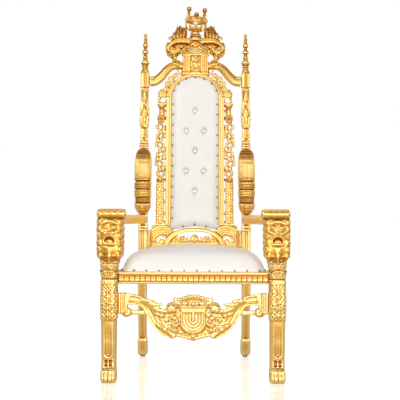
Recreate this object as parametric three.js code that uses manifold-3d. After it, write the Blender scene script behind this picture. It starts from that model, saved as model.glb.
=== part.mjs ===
// A carved and gilded ceremonial throne: tall leaning back with a crowned crest, lion-head arms on
// paw-footed front legs, a pierced front apron, a white padded back with seven buttons and a white
// padded seat. Millimetres, +Z up, the sitter faces -Y, origin on the floor under the middle.
import * as THREE from 'three';
import { mergeVertices } from 'three/addons/utils/BufferGeometryUtils.js';
import Module from 'manifold-3d';

const wasm = await Module();
wasm.setup();

// ---------------------------------------------------------------- driving dimensions
const GLUE_GAP = 0.3; // glue line between touching pieces

const SEAT_TOP = 474; // top of the seat rails
const RAIL_HEIGHT = 52;
const RAIL_BOW = 8; // the front rail bows forward
const SEAT_CROWN = 585; // highest point of the seat cushion

const BACK_Y = 219; // back posts at seat height
const LEAN = 0.11; // the back leans 110 mm in each metre above LEAN_START
const LEAN_START = 450;
const SPLAY = 65; // how far the rear feet stand behind the seat

const POST_X = 262; // post centres either side of the middle
const POST_HALF = 23;
const JOINT_Z = 1384; // where the turned top of a post meets its carved part
const FINIAL_BASE = 1466;

const LEG_X = 364; // front leg centres
const LEG_INNER = 327; // inner face of the front legs
const LEG_TOP = 512;
const LEG_Y = -351;

const HEAD_X = 354; // lion head centres
const HEAD_HALF = 64;
const FACE_ASIDE = 8; // mane and face sit this far outwards under the rolled scroll
const ROLL_Z = 724; // rolled scroll over each lion head
const ROLL_RADIUS = 23;

const ARM_HALF = 22;
const ARM_Z = 700;
const ARM_FRONT = -282; // where an arm meets the back of its lion head

const PAD_HALF = 119.7; // half width of the back pad
const PAD_BOTTOM = 647; // the pad's lower corners
const PAD_HOLLOW = 19; // its foot rises to an arch
const PAD_FRONT = -38; // crown of the pad in front of the back's centre line
const ARCH_SPRING = 1334;
const ARCH_RISE = 107;
const STILE_WIDTH = 30;
const BUTTON_PITCH = 104; // height between button rows
const BUTTON_TOP = 1259;
const BUTTON_SIDE = 45;
const WELL_RADIUS = 26;
const WELL_DEPTH = 13;

const SCROLL_BOTTOM = 722.5;
const SCROLL_TOP = 1060;
const SCROLL_HALF = 43;

const CREST_Z = 1460; // underside of the crest's cartouche
const CROWN_Z = 1664; // underside of the crown
const CROWN_FORWARD = 4;
const CROWN_TILT = THREE.MathUtils.degToRad(4); // the crown sits a little crooked
const GLIDE_HEIGHT = 6;

const FRONT = new THREE.Vector3(0, -1, 0);

// ---------------------------------------------------------------- materials
const gold = new THREE.MeshStandardMaterial({ color: 0xd9a13a, roughness: 0.3, metalness: 1 });
const leather = new THREE.MeshStandardMaterial({ color: 0xefece4, roughness: 0.4, metalness: 0 });
const crystal = new THREE.MeshStandardMaterial({ color: 0xdfe4e8, roughness: 0.08, metalness: 0.4 });
const nylon = new THREE.MeshStandardMaterial({ color: 0x6b4a35, roughness: 0.6, metalness: 0 });

// ---------------------------------------------------------------- making closed meshes
const point = (x, y, z) => new THREE.Vector3(x, y, z);

/** Triangles that close a flat ring, wound about the ring's own normal. */
function capTriangles(ring) {
  const normal = point(0, 0, 0);
  ring.forEach((p, i) => {
    const q = ring[(i + 1) % ring.length];
    normal.x += (p.y - q.y) * (p.z + q.z);
    normal.y += (p.z - q.z) * (p.x + q.x);
    normal.z += (p.x - q.x) * (p.y + q.y);
  });
  normal.normalize();
  const across = ring[1].clone().sub(ring[0]).normalize();
  const up = normal.clone().cross(across);
  const flat = ring.map((p) => new THREE.Vector2(p.dot(across), p.dot(up)));
  return THREE.ShapeUtils.triangulateShape(flat, []);
}

function signedVolume(positions, index) {
  let six = 0;
  const corner = (i) => point(positions[3 * i], positions[3 * i + 1], positions[3 * i + 2]);
  for (let i = 0; i < index.length; i += 3) {
    six += corner(index[i]).dot(corner(index[i + 1]).cross(corner(index[i + 2])));
  }
  return six / 6;
}

/** A geometry from positions and triangles, turned inside out if its faces pointed inwards. */
function facingOut(positions, index) {
  if (signedVolume(positions, index) < 0) index.reverse();
  const geometry = new THREE.BufferGeometry();
  geometry.setAttribute('position', new THREE.Float32BufferAttribute(positions, 3));
  geometry.setIndex(index);
  return geometry;
}

/** A closed skin over rings of points, one ring after the other, with flat ends. */
function loft(rings) {
  const sides = rings[0].length;
  const positions = rings.flat().flatMap((p) => p.toArray());
  const index = [];
  for (let i = 0; i + 1 < rings.length; i++) {
    for (let j = 0; j < sides; j++) {
      const a = i * sides + j;
      const b = i * sides + ((j + 1) % sides);
      index.push(a, b, a + sides, b, b + sides, a + sides);
    }
  }
  for (const [a, b, c] of capTriangles(rings[0])) index.push(c, b, a);
  const last = (rings.length - 1) * sides;
  for (const [a, b, c] of capTriangles(rings.at(-1))) index.push(last + a, last + b, last + c);
  return facingOut(positions, index);
}

/** Sweeps a flat outline of [across, out] points along a curve, with out turned to face the viewer. */
function sweep(outlineAt, curve, steps, facing = FRONT) {
  const rings = [];
  for (let i = 0; i <= steps; i++) {
    const t = i / steps;
    const at = curve.getPointAt(t);
    const along = curve.getTangentAt(t);
    const across = new THREE.Vector3().crossVectors(facing, along).normalize();
    const out = new THREE.Vector3().crossVectors(along, across).normalize();
    rings.push(outlineAt(t).map(([u, v]) =>
      at.clone().addScaledVector(across, u).addScaledVector(out, v)));
  }
  return loft(rings);
}

const curveThrough = (points) => new THREE.CatmullRomCurve3(points.map((p) => point(...p)));

function ovalOutline(halfWidth, halfDepth, sides) {
  return Array.from({ length: sides }, (_, k) => {
    const a = (2 * Math.PI * k) / sides;
    return [halfWidth * Math.cos(a), halfDepth * Math.sin(a)];
  });
}

/** A rounded stem through points; size(t) gives its half width and half depth. */
function strand(points, size, { steps = 8, sides = 4, facing = FRONT } = {}) {
  return sweep((t) => ovalOutline(...size(t), sides), curveThrough(points), steps, facing);
}

/** A pointed leaf with a ridge down its middle, bowed towards the viewer. */
function leaf(root, tip, width, { bow = 5, thick = 7, facing = FRONT, steps = 2 } = {}) {
  const middle = root.map((r, i) => (r + tip[i]) / 2 + facing.getComponent(i) * bow);
  const outlineAt = (t) => {
    const half = Math.max((width / 2) * Math.sin(Math.PI * (0.18 + 0.82 * t)), 0.5);
    const ridge = Math.max(thick * (1 - 0.8 * t), 0.5);
    return [[-half, -ridge], [half, -ridge], [0, ridge]];
  };
  return sweep(outlineAt, curveThrough([root, middle, tip]), steps, facing);
}

/**
 * An eight-sided ring round an upright oval, with a point in front; every other point is pulled up by
 * jag (down if negative), which turns the edge of a band into a row of leaf or lock tips.
 */
function ovalRing([x, y], halfX, halfY, z, jag = 0) {
  return Array.from({ length: 8 }, (_, k) => {
    const a = (Math.PI * k) / 4 - Math.PI / 2;
    return point(x + halfX * Math.cos(a), y + halfY * Math.sin(a), z + (k % 2 ? 0 : jag));
  });
}

/**
 * A spray of leaves or a shell: pointed rays from a raised middle with notches between them. A ray is
 * [degrees clockwise from upright, length]. Front and back meet in one sharp edge.
 */
function palmette([x, y, z], rays, { rise = 12, back = 9, notch = 0.62, root = 0.4, lift = 4 } = {}) {
  const rim = rays.flatMap(([angle, length], i) => {
    const next = rays[i + 1];
    const tip = [angle, length, lift];
    return next ? [tip, [(angle + next[0]) / 2, notch * Math.min(length, next[1]), 0]] : [tip];
  });
  rim.push([(rays[0][0] + rays.at(-1)[0]) / 2 + 180, root * rays[0][1], 0]);
  const positions = rim.flatMap(([angle, length, forward]) => {
    const a = THREE.MathUtils.degToRad(angle);
    return [x + length * Math.sin(a), y - forward, z + length * Math.cos(a)];
  });
  const front = rim.length;
  positions.push(x, y - rise, z, x, y + back, z);
  const index = rim.flatMap((_, i) => {
    const next = (i + 1) % rim.length;
    return [front, i, next, front + 1, next, i];
  });
  return facingOut(positions, index);
}

/** A face carved in relief over lines of x and z, at depthAt(x, z), closed to one point behind. */
function relief(xs, zs, depthAt, behind) {
  const at = (i, j) => j * xs.length + i;
  const positions = zs.flatMap((z) => xs.flatMap((x) => [x, depthAt(x, z), z]));
  positions.push(...behind);
  const back = xs.length * zs.length;
  const index = [];
  const [lastX, lastZ] = [xs.length - 1, zs.length - 1];
  for (let j = 0; j < lastZ; j++) {
    for (let i = 0; i < lastX; i++) {
      index.push(at(i, j), at(i + 1, j), at(i + 1, j + 1), at(i, j), at(i + 1, j + 1), at(i, j + 1));
    }
    index.push(at(0, j), at(0, j + 1), back, at(lastX, j + 1), at(lastX, j), back);
  }
  for (let i = 0; i < lastX; i++) {
    index.push(at(i + 1, 0), at(i, 0), back, at(i, lastZ), at(i + 1, lastZ), back);
  }
  return facingOut(positions, index);
}

function blob([x, y, z], [rx, ry, rz], detail = 0) {
  return new THREE.IcosahedronGeometry(1, detail).scale(rx, ry, rz).translate(x, y, z);
}

function block([x0, y0, z0], [x1, y1, z1]) {
  return new THREE.BoxGeometry(x1 - x0, y1 - y0, z1 - z0)
    .translate((x0 + x1) / 2, (y0 + y1) / 2, (z0 + z1) / 2);
}

/** A turned form: profile is [radius, z] pairs from the axis at the bottom to the axis at the top. */
function turned(profile, segments) {
  const outline = profile.map(([r, z]) => new THREE.Vector2(r, z));
  return new THREE.LatheGeometry(outline, segments).rotateX(Math.PI / 2);
}

/** A flat board cut to an outline in the XZ plane, from its front face to its back face. */
function board(outline, front, back) {
  const shape = new THREE.Shape(outline.map(([x, z]) => new THREE.Vector2(x, z)));
  return new THREE.ExtrudeGeometry(shape, { depth: back - front, bevelEnabled: false })
    .rotateX(Math.PI / 2)
    .translate(0, back, 0);
}

// ---------------------------------------------------------------- joining and cutting
function toSolid(geometry) {
  const bare = new THREE.BufferGeometry();
  bare.setAttribute('position', geometry.getAttribute('position'));
  bare.setIndex(geometry.index);
  const merged = mergeVertices(bare, 1e-3);
  const corners = merged.index.array;
  const triVerts = [];
  for (let i = 0; i < corners.length; i += 3) {
    const [a, b, c] = corners.slice(i, i + 3);
    if (a !== b && b !== c && c !== a) triVerts.push(a, b, c);
  }
  return new wasm.Manifold(new wasm.Mesh({
    numProp: 3,
    vertProperties: merged.attributes.position.array,
    triVerts: new Uint32Array(triVerts),
  }));
}

function toGeometry(solid) {
  const mesh = solid.getMesh();
  const geometry = new THREE.BufferGeometry();
  const positions = new THREE.Float32BufferAttribute(mesh.vertProperties, mesh.numProp);
  geometry.setAttribute('position', positions);
  geometry.setIndex(new THREE.BufferAttribute(mesh.triVerts, 1));
  return geometry;
}

const fuse = (geometries) =>
  toGeometry(geometries.map(toSolid).reduce((whole, part) => whole.add(part)));

const cut = (geometry, cutters) =>
  toGeometry(cutters.map(toSolid).reduce((whole, part) => whole.subtract(part), toSolid(geometry)));

function warp(geometry, move) {
  const positions = geometry.getAttribute('position');
  const p = point(0, 0, 0);
  for (let i = 0; i < positions.count; i++) {
    move(p.fromBufferAttribute(positions, i));
    positions.setXYZ(i, p.x, p.y, p.z);
  }
  return geometry;
}

/** Depth of the back's centre line at a height: leaning above the seat, splayed below it. */
function backLine(z) {
  if (z >= LEAN_START) return BACK_Y + LEAN * (z - LEAN_START);
  return BACK_Y + SPLAY * ((LEAN_START - z) / LEAN_START) ** 1.6;
}

const leaned = (geometry) => warp(geometry, (p) => { p.y += backLine(p.z); });

/** Each geometry and its mirror image across the middle. */
const mirrored = (geometries) => geometries.flatMap((g) => {
  const other = g.clone().scale(-1, 1, 1);
  const count = other.getAttribute('position').count;
  const corners = other.index ? other.index.array : Array.from({ length: count }, (_, k) => k);
  other.setIndex(Array.from(corners).reverse());
  return [g, other];
});

// ---------------------------------------------------------------- back posts and their scrolls
/** A square ring with cut corners; corner is the cut as a share of the half width (0.59 is octagonal). */
function chamferedSquare(halfX, halfY, z, corner) {
  const c = corner * Math.min(halfX, halfY);
  return [
    [halfX, halfY - c], [halfX - c, halfY], [c - halfX, halfY], [-halfX, halfY - c],
    [-halfX, c - halfY], [c - halfX, -halfY], [halfX - c, -halfY], [halfX, c - halfY],
  ].map(([x, y]) => point(x, y, z));
}

/** One post from the rear foot to the tip of its finial, upright about its own axis. */
function backPost() {
  const square = [ // height, half width, half depth
    [GLIDE_HEIGHT + GLUE_GAP, 19, 19], [18, 26, 26], [92, 26, 26], [99, 21.5, 23],
    [240, 22, 24], [400, 23, 25], [646, 23, 24], [650, 25.5, 25], [669, POST_HALF, POST_HALF],
    [1066, 22, 22], [1071, 25, 24.5], [1094, 21, 21], [1142, 24, 24], [1171, 17.5, 17.5],
    [1200, 23, 23], [1262, 24, 24], [JOINT_Z - 4, 21, 21], [JOINT_Z, 24.5, 24.5],
    [FINIAL_BASE, 25, 25],
  ];
  const round = [ // height, radius
    [1484, 17], [1500, 19], [1516, 24], [1531, 13], [1543, 16], [1558, 9.5], [1577, 20],
    [1592, 8], [1612, 16.5], [1632, 10], [1672, 7],
  ];
  const shaft = loft([
    ...square.map(([z, x, y]) => chamferedSquare(x, y, z, 0.35)),
    ...round.map(([z, r]) => chamferedSquare(r, r, z, 0.59)),
  ]);
  const [waist, leafWidth] = [1171, 32];
  const leafUp = leaf([0, -17, waist + 5], [0, -25, waist + 87], leafWidth);
  const leafDown = leaf([0, -17, waist - 5], [0, -24, waist - 63], leafWidth);
  return leaned(fuse([shaft, leafUp, leafDown]));
}

/** The fluted scroll on a post's front, rolled over three lips and ending in a bud. */
function postScroll() {
  const stations = [ // share of the height, share of the half width, depth in front of the post
    [0, 0.4, 26], [0.16, 0.96, 62], [0.18, 0.86, 36], [0.28, 0.88, 36], [0.3, 0.99, 64],
    [0.4, 1, 68], [0.41, 0.93, 58], [0.49, 0.98, 68], [0.5, 0.93, 59], [0.75, 0.95, 66],
    [0.92, 0.8, 44], [1, 0.45, 10],
  ];
  const flutes = 4;
  const fluteDepth = 4;
  const face = -POST_HALF - GLUE_GAP;
  const rings = stations.map(([share, width, depth]) => {
    const z = SCROLL_BOTTOM + share * (SCROLL_TOP - SCROLL_BOTTOM);
    const half = width * SCROLL_HALF;
    const front = Array.from({ length: 2 * flutes + 1 }, (_, k) => {
      const u = k / flutes - 1;
      const groove = k % 2 && share > 0.5 ? fluteDepth : 0;
      return point(half * u, face - depth * (1 - 0.45 * u * u) + groove, z);
    });
    return [point(half, face, z), point(-half, face, z), ...front];
  });
  return leaned(loft(rings));
}

// ---------------------------------------------------------------- the frame round the back pad
/** Moulded section of the frame: across from the pad outwards, out towards the front. */
const frameOutline = (width) => [
  [0, -12], [0, 10], [0.14, 15], [0.35, 9], [0.62, 9], [0.84, 14], [1, 8], [1, -12],
].map(([u, v]) => [u * width, v]);

/** The pierced garland beside the pad: leaf cap, baluster, vine and husks, tied to the stile. */
function garland() {
  const stileEdge = PAD_HALF + STILE_WIDTH;
  const middle = stileEdge + 31;
  const [balusterTop, vineTop, vineBottom, foot] = [1342, 1212, 905, 672];
  const bends = 4;
  const pitch = (vineTop - vineBottom) / bends;
  const vine = Array.from({ length: bends + 1 }, (_, k) =>
    [middle + (k % 2 ? 14 : -12), 0, vineTop - k * pitch]);
  const leaves = vine.slice(1).map(([x, , z], k) => {
    const side = k % 2 ? 1 : -1;
    const rays = [0, 45, 90, 135].map((angle) => [side * angle, 38]);
    return palmette([x, -2, z], rays, { root: 0.6, notch: 0.75 });
  });
  const capRays = [[-80, 25], [-40, 32], [0, 36], [40, 32], [80, 25]];
  const husks = 4;
  const huskSize = (t) => (Math.round(2 * husks * t) % 2 ? [16, 9] : [26, 12]);
  const balusterSize = (t) => [15 + 8 * Math.cos(4 * Math.PI * t), 10];
  return [
    strand([[middle - 2, 0, vineBottom + 10], [middle - 2, 0, foot]], huskSize, { steps: 2 * husks }),
    strand(vine, () => [9, 9], { steps: 2 * bends }),
    strand([[middle, 0, vineTop - 6], [middle, 0, balusterTop]], balusterSize, { steps: 4 }),
    ...leaves,
    palmette([middle, -2, balusterTop + 4], capRays, { notch: 0.85 }),
    ...[1322, 1060, 700].map((z) => block([stileEdge - 8, -4, z - 10], [middle - 4, 5, z + 8])),
  ];
}

/** The moulded stile beside the pad and the pierced garland carved from the same board. */
function sidePanel() {
  const edge = PAD_HALF + GLUE_GAP;
  const path = new THREE.LineCurve3(point(edge, 0, ARCH_SPRING - GLUE_GAP), point(edge, 0, 670));
  const stile = sweep(() => frameOutline(STILE_WIDTH), path, 1);
  return leaned(fuse([stile, ...garland()]));
}

/** The arched top of the frame, slimmer over the middle, with leaf sprays in the corners. */
function archFrame() {
  const gap = 2 * GLUE_GAP;
  const spans = 10;
  const line = new THREE.CatmullRomCurve3(Array.from({ length: spans + 1 }, (_, k) => {
    const a = Math.PI * (1 - k / spans);
    const z = ARCH_SPRING + (ARCH_RISE + gap) * Math.sin(a);
    return point((PAD_HALF + gap) * Math.cos(a), 0, z);
  }));
  const arch = sweep((t) => frameOutline(STILE_WIDTH - 14 * Math.sin(Math.PI * t)), line, spans);
  const rays = [[-45, 56], [-12, 50], [20, 46], [55, 42], [95, 32]];
  const spray = palmette([122, -2, 1396], rays, { notch: 0.75 });
  return leaned(fuse([arch, ...mirrored([spray])]));
}

/** The carved rail under the back pad: arched band, rolled scrolls at its ends and a shell. */
function lowerRail() {
  const reach = POST_X - POST_HALF - 2 * GLUE_GAP;
  const base = block([-reach, -11, 556], [reach, 13, 584]);
  const bandSection = [[-13, -12], [-13, 9], [0, 15], [13, 9], [13, -12]];
  const leftHalf = [[-126, 0, 570], [-102, 0, 620]];
  const rightHalf = leftHalf.toReversed().map(([x, y, z]) => [-x, y, z]);
  const archLine = curveThrough([...leftHalf, [0, 0, 651], ...rightHalf]);
  const scroll = [
    [110, -2, 578], [128, -2, 616], [160, -2, 642], [194, -2, 636], [210, -2, 606], [206, -2, 574],
  ];
  const side = [
    strand(scroll, () => [18, 14], { steps: 6 }),
    block([reach - 18, -13, 572], [reach, 13, 640]),
    block([PAD_HALF + 1, -10, 636], [176, 10, 669.6]),
  ];
  const rays = [[-95, 84], [-62, 66], [-30, 52], [0, 48], [30, 52], [62, 66], [95, 84]];
  const shell = palmette([0, -4, 592], rays);
  return leaned(fuse([base, sweep(() => bandSection, archLine, 6), ...mirrored(side), shell]));
}

// ---------------------------------------------------------------- padded back and seat
/** Where the seven buttons sit: rows of one and two in turn, from the top down. */
function buttonPlaces() {
  const places = [];
  for (let row = 0; row < 5; row++) {
    const z = BUTTON_TOP - row * BUTTON_PITCH;
    if (row % 2) places.push([-BUTTON_SIDE, z], [BUTTON_SIDE, z]);
    else places.push([0, z]);
  }
  return places;
}

/** Outline of the back pad, shrunk by inset: arched top, square corners and an arched foot. */
function padOutline(inset) {
  const half = PAD_HALF - inset;
  const foot = PAD_BOTTOM + inset;
  const spans = 10;
  const arch = Array.from({ length: spans + 1 }, (_, k) => {
    const a = (Math.PI * k) / spans;
    return [half * Math.cos(a), ARCH_SPRING + (ARCH_RISE - inset) * Math.sin(a)];
  });
  return [...arch, [-half, foot], [0, foot + PAD_HOLLOW], [half, foot]];
}

function backPad() {
  const layers = [[10, 16], [0, 9], [0, -16], [10, -31], [34, PAD_FRONT]]; // inset, depth
  const rings = layers.map(([inset, y]) => padOutline(inset).map(([x, z]) => point(x, y, z)));
  const wells = buttonPlaces().map(([x, z]) =>
    new THREE.ConeGeometry(2 * WELL_RADIUS, 2 * WELL_DEPTH, 6).translate(x, PAD_FRONT, z));
  return leaned(cut(loft(rings), wells));
}

/** A faceted crystal button with its flat back in the XZ plane. */
const buttonStone = () => turned([[0, 0], [9, 0], [7, 5], [0, 7]], 6).rotateX(Math.PI / 2);

/** Plan of the seat, shrunk by inset: wide bowed front, narrower back, rounded corners. */
function seatOutline(inset) {
  const [front, rear] = [-360 + inset, 190 - inset];
  const [frontHalf, rearHalf] = [320 - inset, 274 - inset];
  const corner = 14;
  const side = [
    [rearHalf - corner, rear], [rearHalf, rear - corner],
    [frontHalf, front + 2 * corner], [frontHalf - corner, front],
  ];
  const otherSide = side.toReversed().map(([x, y]) => [-x, y]);
  return [...side, [0, front - RAIL_BOW], ...otherSide, [0, rear + 1]];
}

function seatCushion() {
  const crown = SEAT_CROWN - SEAT_TOP;
  const layers = [[GLUE_GAP, 4], [14, 0], [38, 9], [70, 36], [98, 92], [crown, 160]]; // rise, inset
  return loft(layers.map(([rise, inset]) =>
    seatOutline(inset).map(([x, y]) => point(x, y, SEAT_TOP + rise))));
}

// ---------------------------------------------------------------- seat rails
/** Moulded section of a seat rail: across from its foot upwards, out towards its face. */
const railOutline = [
  [0, -16], [0, 13], [5, 17], [10, 11], [36, 11], [42, 18], [RAIL_HEIGHT, 13], [RAIL_HEIGHT, -16],
];

function frontRail() {
  const reach = LEG_INNER - 3;
  const path = curveThrough([-1, -0.6, 0, 0.6, 1].map((u) =>
    [reach * u, LEG_Y + 4 - RAIL_BOW * Math.cos((Math.PI * u) / 2), SEAT_TOP - RAIL_HEIGHT]));
  return sweep(() => railOutline, path, 6);
}

function sideRail() {
  const from = point(LEG_X - 27, LEG_Y + 44, SEAT_TOP - RAIL_HEIGHT);
  const to = point(POST_X + 4, BACK_Y - 27, SEAT_TOP - RAIL_HEIGHT);
  return sweep(() => railOutline, new THREE.LineCurve3(from, to), 1, point(1, 0, 0));
}

function backRail() {
  const reach = POST_X - POST_HALF - 2 * GLUE_GAP;
  return block([-reach, BACK_Y - 16, SEAT_TOP - RAIL_HEIGHT], [reach, BACK_Y + 16, SEAT_TOP]);
}

// ---------------------------------------------------------------- front legs
/** A front leg on its own axis: paw, plain shank, knee with leaf tips, and two leafy collars. */
function frontLeg() {
  const stations = [ // height, half width, half depth, forward of the leg's axis, leaf tips
    [0, 33, 34, 2], [16, 37, 47, 8], [50, 36, 42, 5], [72, 33, 36, 0], [180, 35, 40, 4],
    [276, 36, 43, 7], [284, 38, 49, 8, -34], [345, 38, 50, 9], [424, 36, 43, 4], [430, 38, 46, 3],
    [446, 38, 46, 3], [450, 35, 41, 3], [474, 38, 46, 3, 10], [479, 35, 40, 3], [LEG_TOP, 38, 43, 2],
  ];
  const parts = [loft(stations.map(([z, halfX, halfY, forward, tips]) =>
    ovalRing([0, -forward], halfX, halfY, z, tips)))];
  for (const x of [-26, -9, 9, 26]) { // toes
    const front = -60 + Math.abs(x) / 6;
    parts.push(strand([[x * 0.8, -24, 52], [x, front + 10, 44], [x, front, 18]], () => [9, 13],
      { steps: 2, facing: point(0, -0.6, 1) }));
  }
  for (const z of [404, 366, 328]) { // a row of rosettes down the knee
    parts.push(palmette([0, -50, z], [[-90, 15], [0, 15], [90, 15]], { rise: 10, back: 16, lift: 0 }));
  }
  const slots = [-10, 10].map((x) => block([x - 5.5, -60, 70], [x + 5.5, -24, 94]));
  return cut(fuse(parts), slots);
}

// ---------------------------------------------------------------- lion heads and arms
/** How far the lion's face stands out, as rounded bumps (and hollows) added together. */
function faceRise(x, z) {
  const bumps = [ // either side of the nose, height, half width, half height, rise
    [0, 680, 44, 34, 10], [19, 685, 18, 14, 9], [19, 668, 14, 10, -6], [19, 657, 9, 8, 5],
    [0, 660, 13, 44, 13], [0, 632, 16, 13, 8], [16, 620, 22, 16, 14], [0, 608, 24, 9, -14],
    [0, 592, 24, 12, 12], [0, 564, 22, 36, 13], [34, 636, 14, 26, 9],
  ];
  return bumps.reduce((sum, [aside, height, halfX, halfZ, rise]) => {
    const reach = 1 - ((Math.abs(x) - aside) / halfX) ** 2 - ((z - height) / halfZ) ** 2;
    return sum + rise * Math.max(reach, 0);
  }, 0);
}

/** A lion head on its own axis: mane in hanging locks, rolled scroll on top and a carved face. */
function lionHead() {
  const mane = [ // height, half width, half depth, centre depth, lock tips
    [LEG_TOP + GLUE_GAP, 37, 40, 8], [544, 47, 46, 10], [552, 53, 51, 11, -14], [596, 49, 49, 12],
    [604, 56, 56, 12, -14], [646, 51, 53, 12], [654, 56, 57, 12, -14], [722, 52, 48, 10],
  ];
  const rollSize = (t) => (t > 0.01 && t < 0.99 ? [ROLL_RADIUS, ROLL_RADIUS] : [15, 15]);
  const xs = [-42, -31, -19, -8, 8, 19, 31, 42];
  const zs = [538, 566, 590, 600, 608, 617, 632, 647, 657, 668, 685, 706];
  const face = relief(xs, zs, (x, z) => -38 - faceRise(x, z), [0, 20, 630]).translate(FACE_ASIDE, 0, 0);
  return fuse([
    loft(mane.map(([z, a, b, y, tips]) => ovalRing([FACE_ASIDE, y], a, b, z, tips))),
    strand([[-HEAD_HALF, -24, ROLL_Z], [HEAD_HALF, -24, ROLL_Z]], rollSize, { steps: 6, sides: 6 }),
    face,
  ]);
}

/** An arm from the back of its lion head to the front of its post, drawn in towards the back. */
function arm() {
  const rear = backLine(ARM_Z - ARM_HALF) - POST_HALF - 2.5;
  const points = Array.from({ length: 5 }, (_, k) => {
    const t = k / 4;
    const ease = 0.5 - 0.5 * Math.cos(Math.PI * t);
    return [HEAD_X - 2 + ease * (POST_X - HEAD_X + 2), ARM_FRONT + t * (rear - ARM_FRONT), ARM_Z];
  });
  const shoulder = 14;
  const section = [
    [-ARM_HALF, -shoulder], [-ARM_HALF, shoulder], [-shoulder, ARM_HALF], [shoulder, ARM_HALF],
    [ARM_HALF, shoulder], [ARM_HALF, -shoulder], [shoulder, -ARM_HALF], [-shoulder, -ARM_HALF],
  ];
  const taper = (t) => 1.1 - 0.1 * t;
  const outlineAt = (t) => section.map(([u, v]) => [u * taper(t), v]);
  return sweep(outlineAt, curveThrough(points), 4, point(0, 0, 1));
}

// ---------------------------------------------------------------- pierced front apron
/** Half of the apron's openwork: end block, long scroll with its knobs, leaves and lower scroll. */
function apronSide() {
  const reach = LEG_INNER - 2;
  const scroll = [
    [300, 0, 352], [250, 0, 352], [206, 0, 336], [172, 0, 296], [143, 0, 254], [113, 0, 222],
    [84, 0, 204],
  ];
  const upperRays = [[-100, 66], [-62, 58], [-25, 58], [12, 54], [48, 60], [82, 70]];
  const lowerRays = [[-90, 48], [-50, 44], [-10, 30], [30, 38], [75, 48]];
  return [
    block([286, -13, 292], [reach, 13, 383]),
    blob([286, -3, 296], [28, 14, 24]),
    strand(scroll, (t) => [26 - 10 * t, 14], { steps: 7, sides: 5 }),
    blob([86, -3, 203], [22, 14, 21]),
    strand([[84, 0, 204], [56, 0, 212], [28, 0, 202], [0, 0, 190]], () => [15, 12], { steps: 2 }),
    palmette([112, -2, 300], upperRays, { notch: 0.86, root: 0.6 }),
    palmette([94, -2, 246], lowerRays, { notch: 0.9, root: 1 }),
  ];
}

/** The apron between the front legs: scrolled arms down to a crowned shield and a drop. */
function apron() {
  const half = 50;
  const rightEdge = [[half, 324], [half, 262], [0.86 * half, 236], [0.5 * half, 216], [0, 206]];
  const leftEdge = rightEdge.slice(0, -1).reverse().map(([x, z]) => [-x, z]);
  const rimLine = [[34, -16, 300], [33, -16, 258], [0, -16, 226], [-33, -16, 258], [-34, -16, 300]];
  const coronetRays = [[-67, 94], [-42, 72], [-15, 62], [15, 62], [42, 72], [67, 94]];
  const parts = [
    ...mirrored(apronSide()),
    board([...rightEdge, ...leftEdge], -15, 12),
    strand(rimLine, () => [4, 6], { steps: 4 }),
    blob([0, -14, 268], [14, 11, 22]),
    block([-54, -20, 306], [54, 13, 326]),
    palmette([0, -4, 323], coronetRays, { notch: 0.9, root: 0.2 }),
    palmette([0, -3, 206], [[105, 54], [180, 34], [255, 54]]),
  ];
  return fuse(parts).translate(0, LEG_Y, 0);
}

// ---------------------------------------------------------------- crest and crown
/** Half of the crest: arm up from the post, knob, horned scroll and two leaf sprays. */
function crestSide() {
  const reach = POST_X - 28;
  const armLine = [
    [reach, 0, 1416], [206, -1, 1418], [174, -3, 1444], [148, -5, 1480], [118, -6, 1500], [64, -6, 1500],
  ];
  const hornLine = [
    [0, -10, 1634], [60, -12, 1638], [112, -14, 1636], [142, -12, 1612], [138, -10, 1578],
    [108, -10, 1568],
  ];
  const leafRays = [
    [-70, 58], [-15, 46], [40, 50], [85, 54], [112, 60], [138, 64], [165, 58], [200, 52], [240, 56],
  ];
  const topRays = [[-26, 62], [-11, 86], [3, 84], [18, 80], [44, 58], [66, 68]];
  return [
    strand(armLine, (t) => [28 - 9 * t, 21 - 4 * t], { steps: 5, sides: 6 }),
    blob([96, -12, 1514], [27, 17, 20]),
    strand(hornLine, (t) => [22 - 8 * t, 18 - 5 * t], { steps: 6, sides: 5 }),
    palmette([102, -4, 1592], leafRays, { rise: 18, notch: 0.88, root: 0.9 }),
    palmette([84, -4, 1640], topRays, { notch: 0.8 }),
    blob([80, -8, 1472], [16, 12, 15]),
  ];
}

/** The crest over the back: scrolled sides round a fluted cartouche under a ribbed fan. */
function crest() {
  const half = 72;
  const fluted = [[half, 14], [half, -18], [62, -24], [54, -18], [46, -24], [38, -16]]; // from above
  const plan = [...fluted, ...fluted.toReversed().map(([x, y]) => [-x, y])];
  const body = loft([CREST_Z, 1572].map((z) => plan.map(([x, y]) => point(x, y, z))));
  const bulge = (t) => Math.sin(Math.PI * t);
  const medallion = strand([[0, -14, 1470], [0, -14, 1556]],
    (t) => [12 + 22 * bulge(t), 6 + 6 * bulge(t)], { steps: 4, sides: 6 });
  const fanRays = [[-88, 70], [-50, 65], [-20, 64], [20, 64], [50, 65], [88, 70]];
  const fan = palmette([0, -16, 1562], fanRays, { notch: 0.86, root: 0.1, back: 30 });
  const neck = block([-30, -14, 1606], [30, 16, CROWN_Z - 2]);
  return leaned(fuse([...mirrored(crestSide()), body, medallion, fan, neck]));
}

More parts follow.
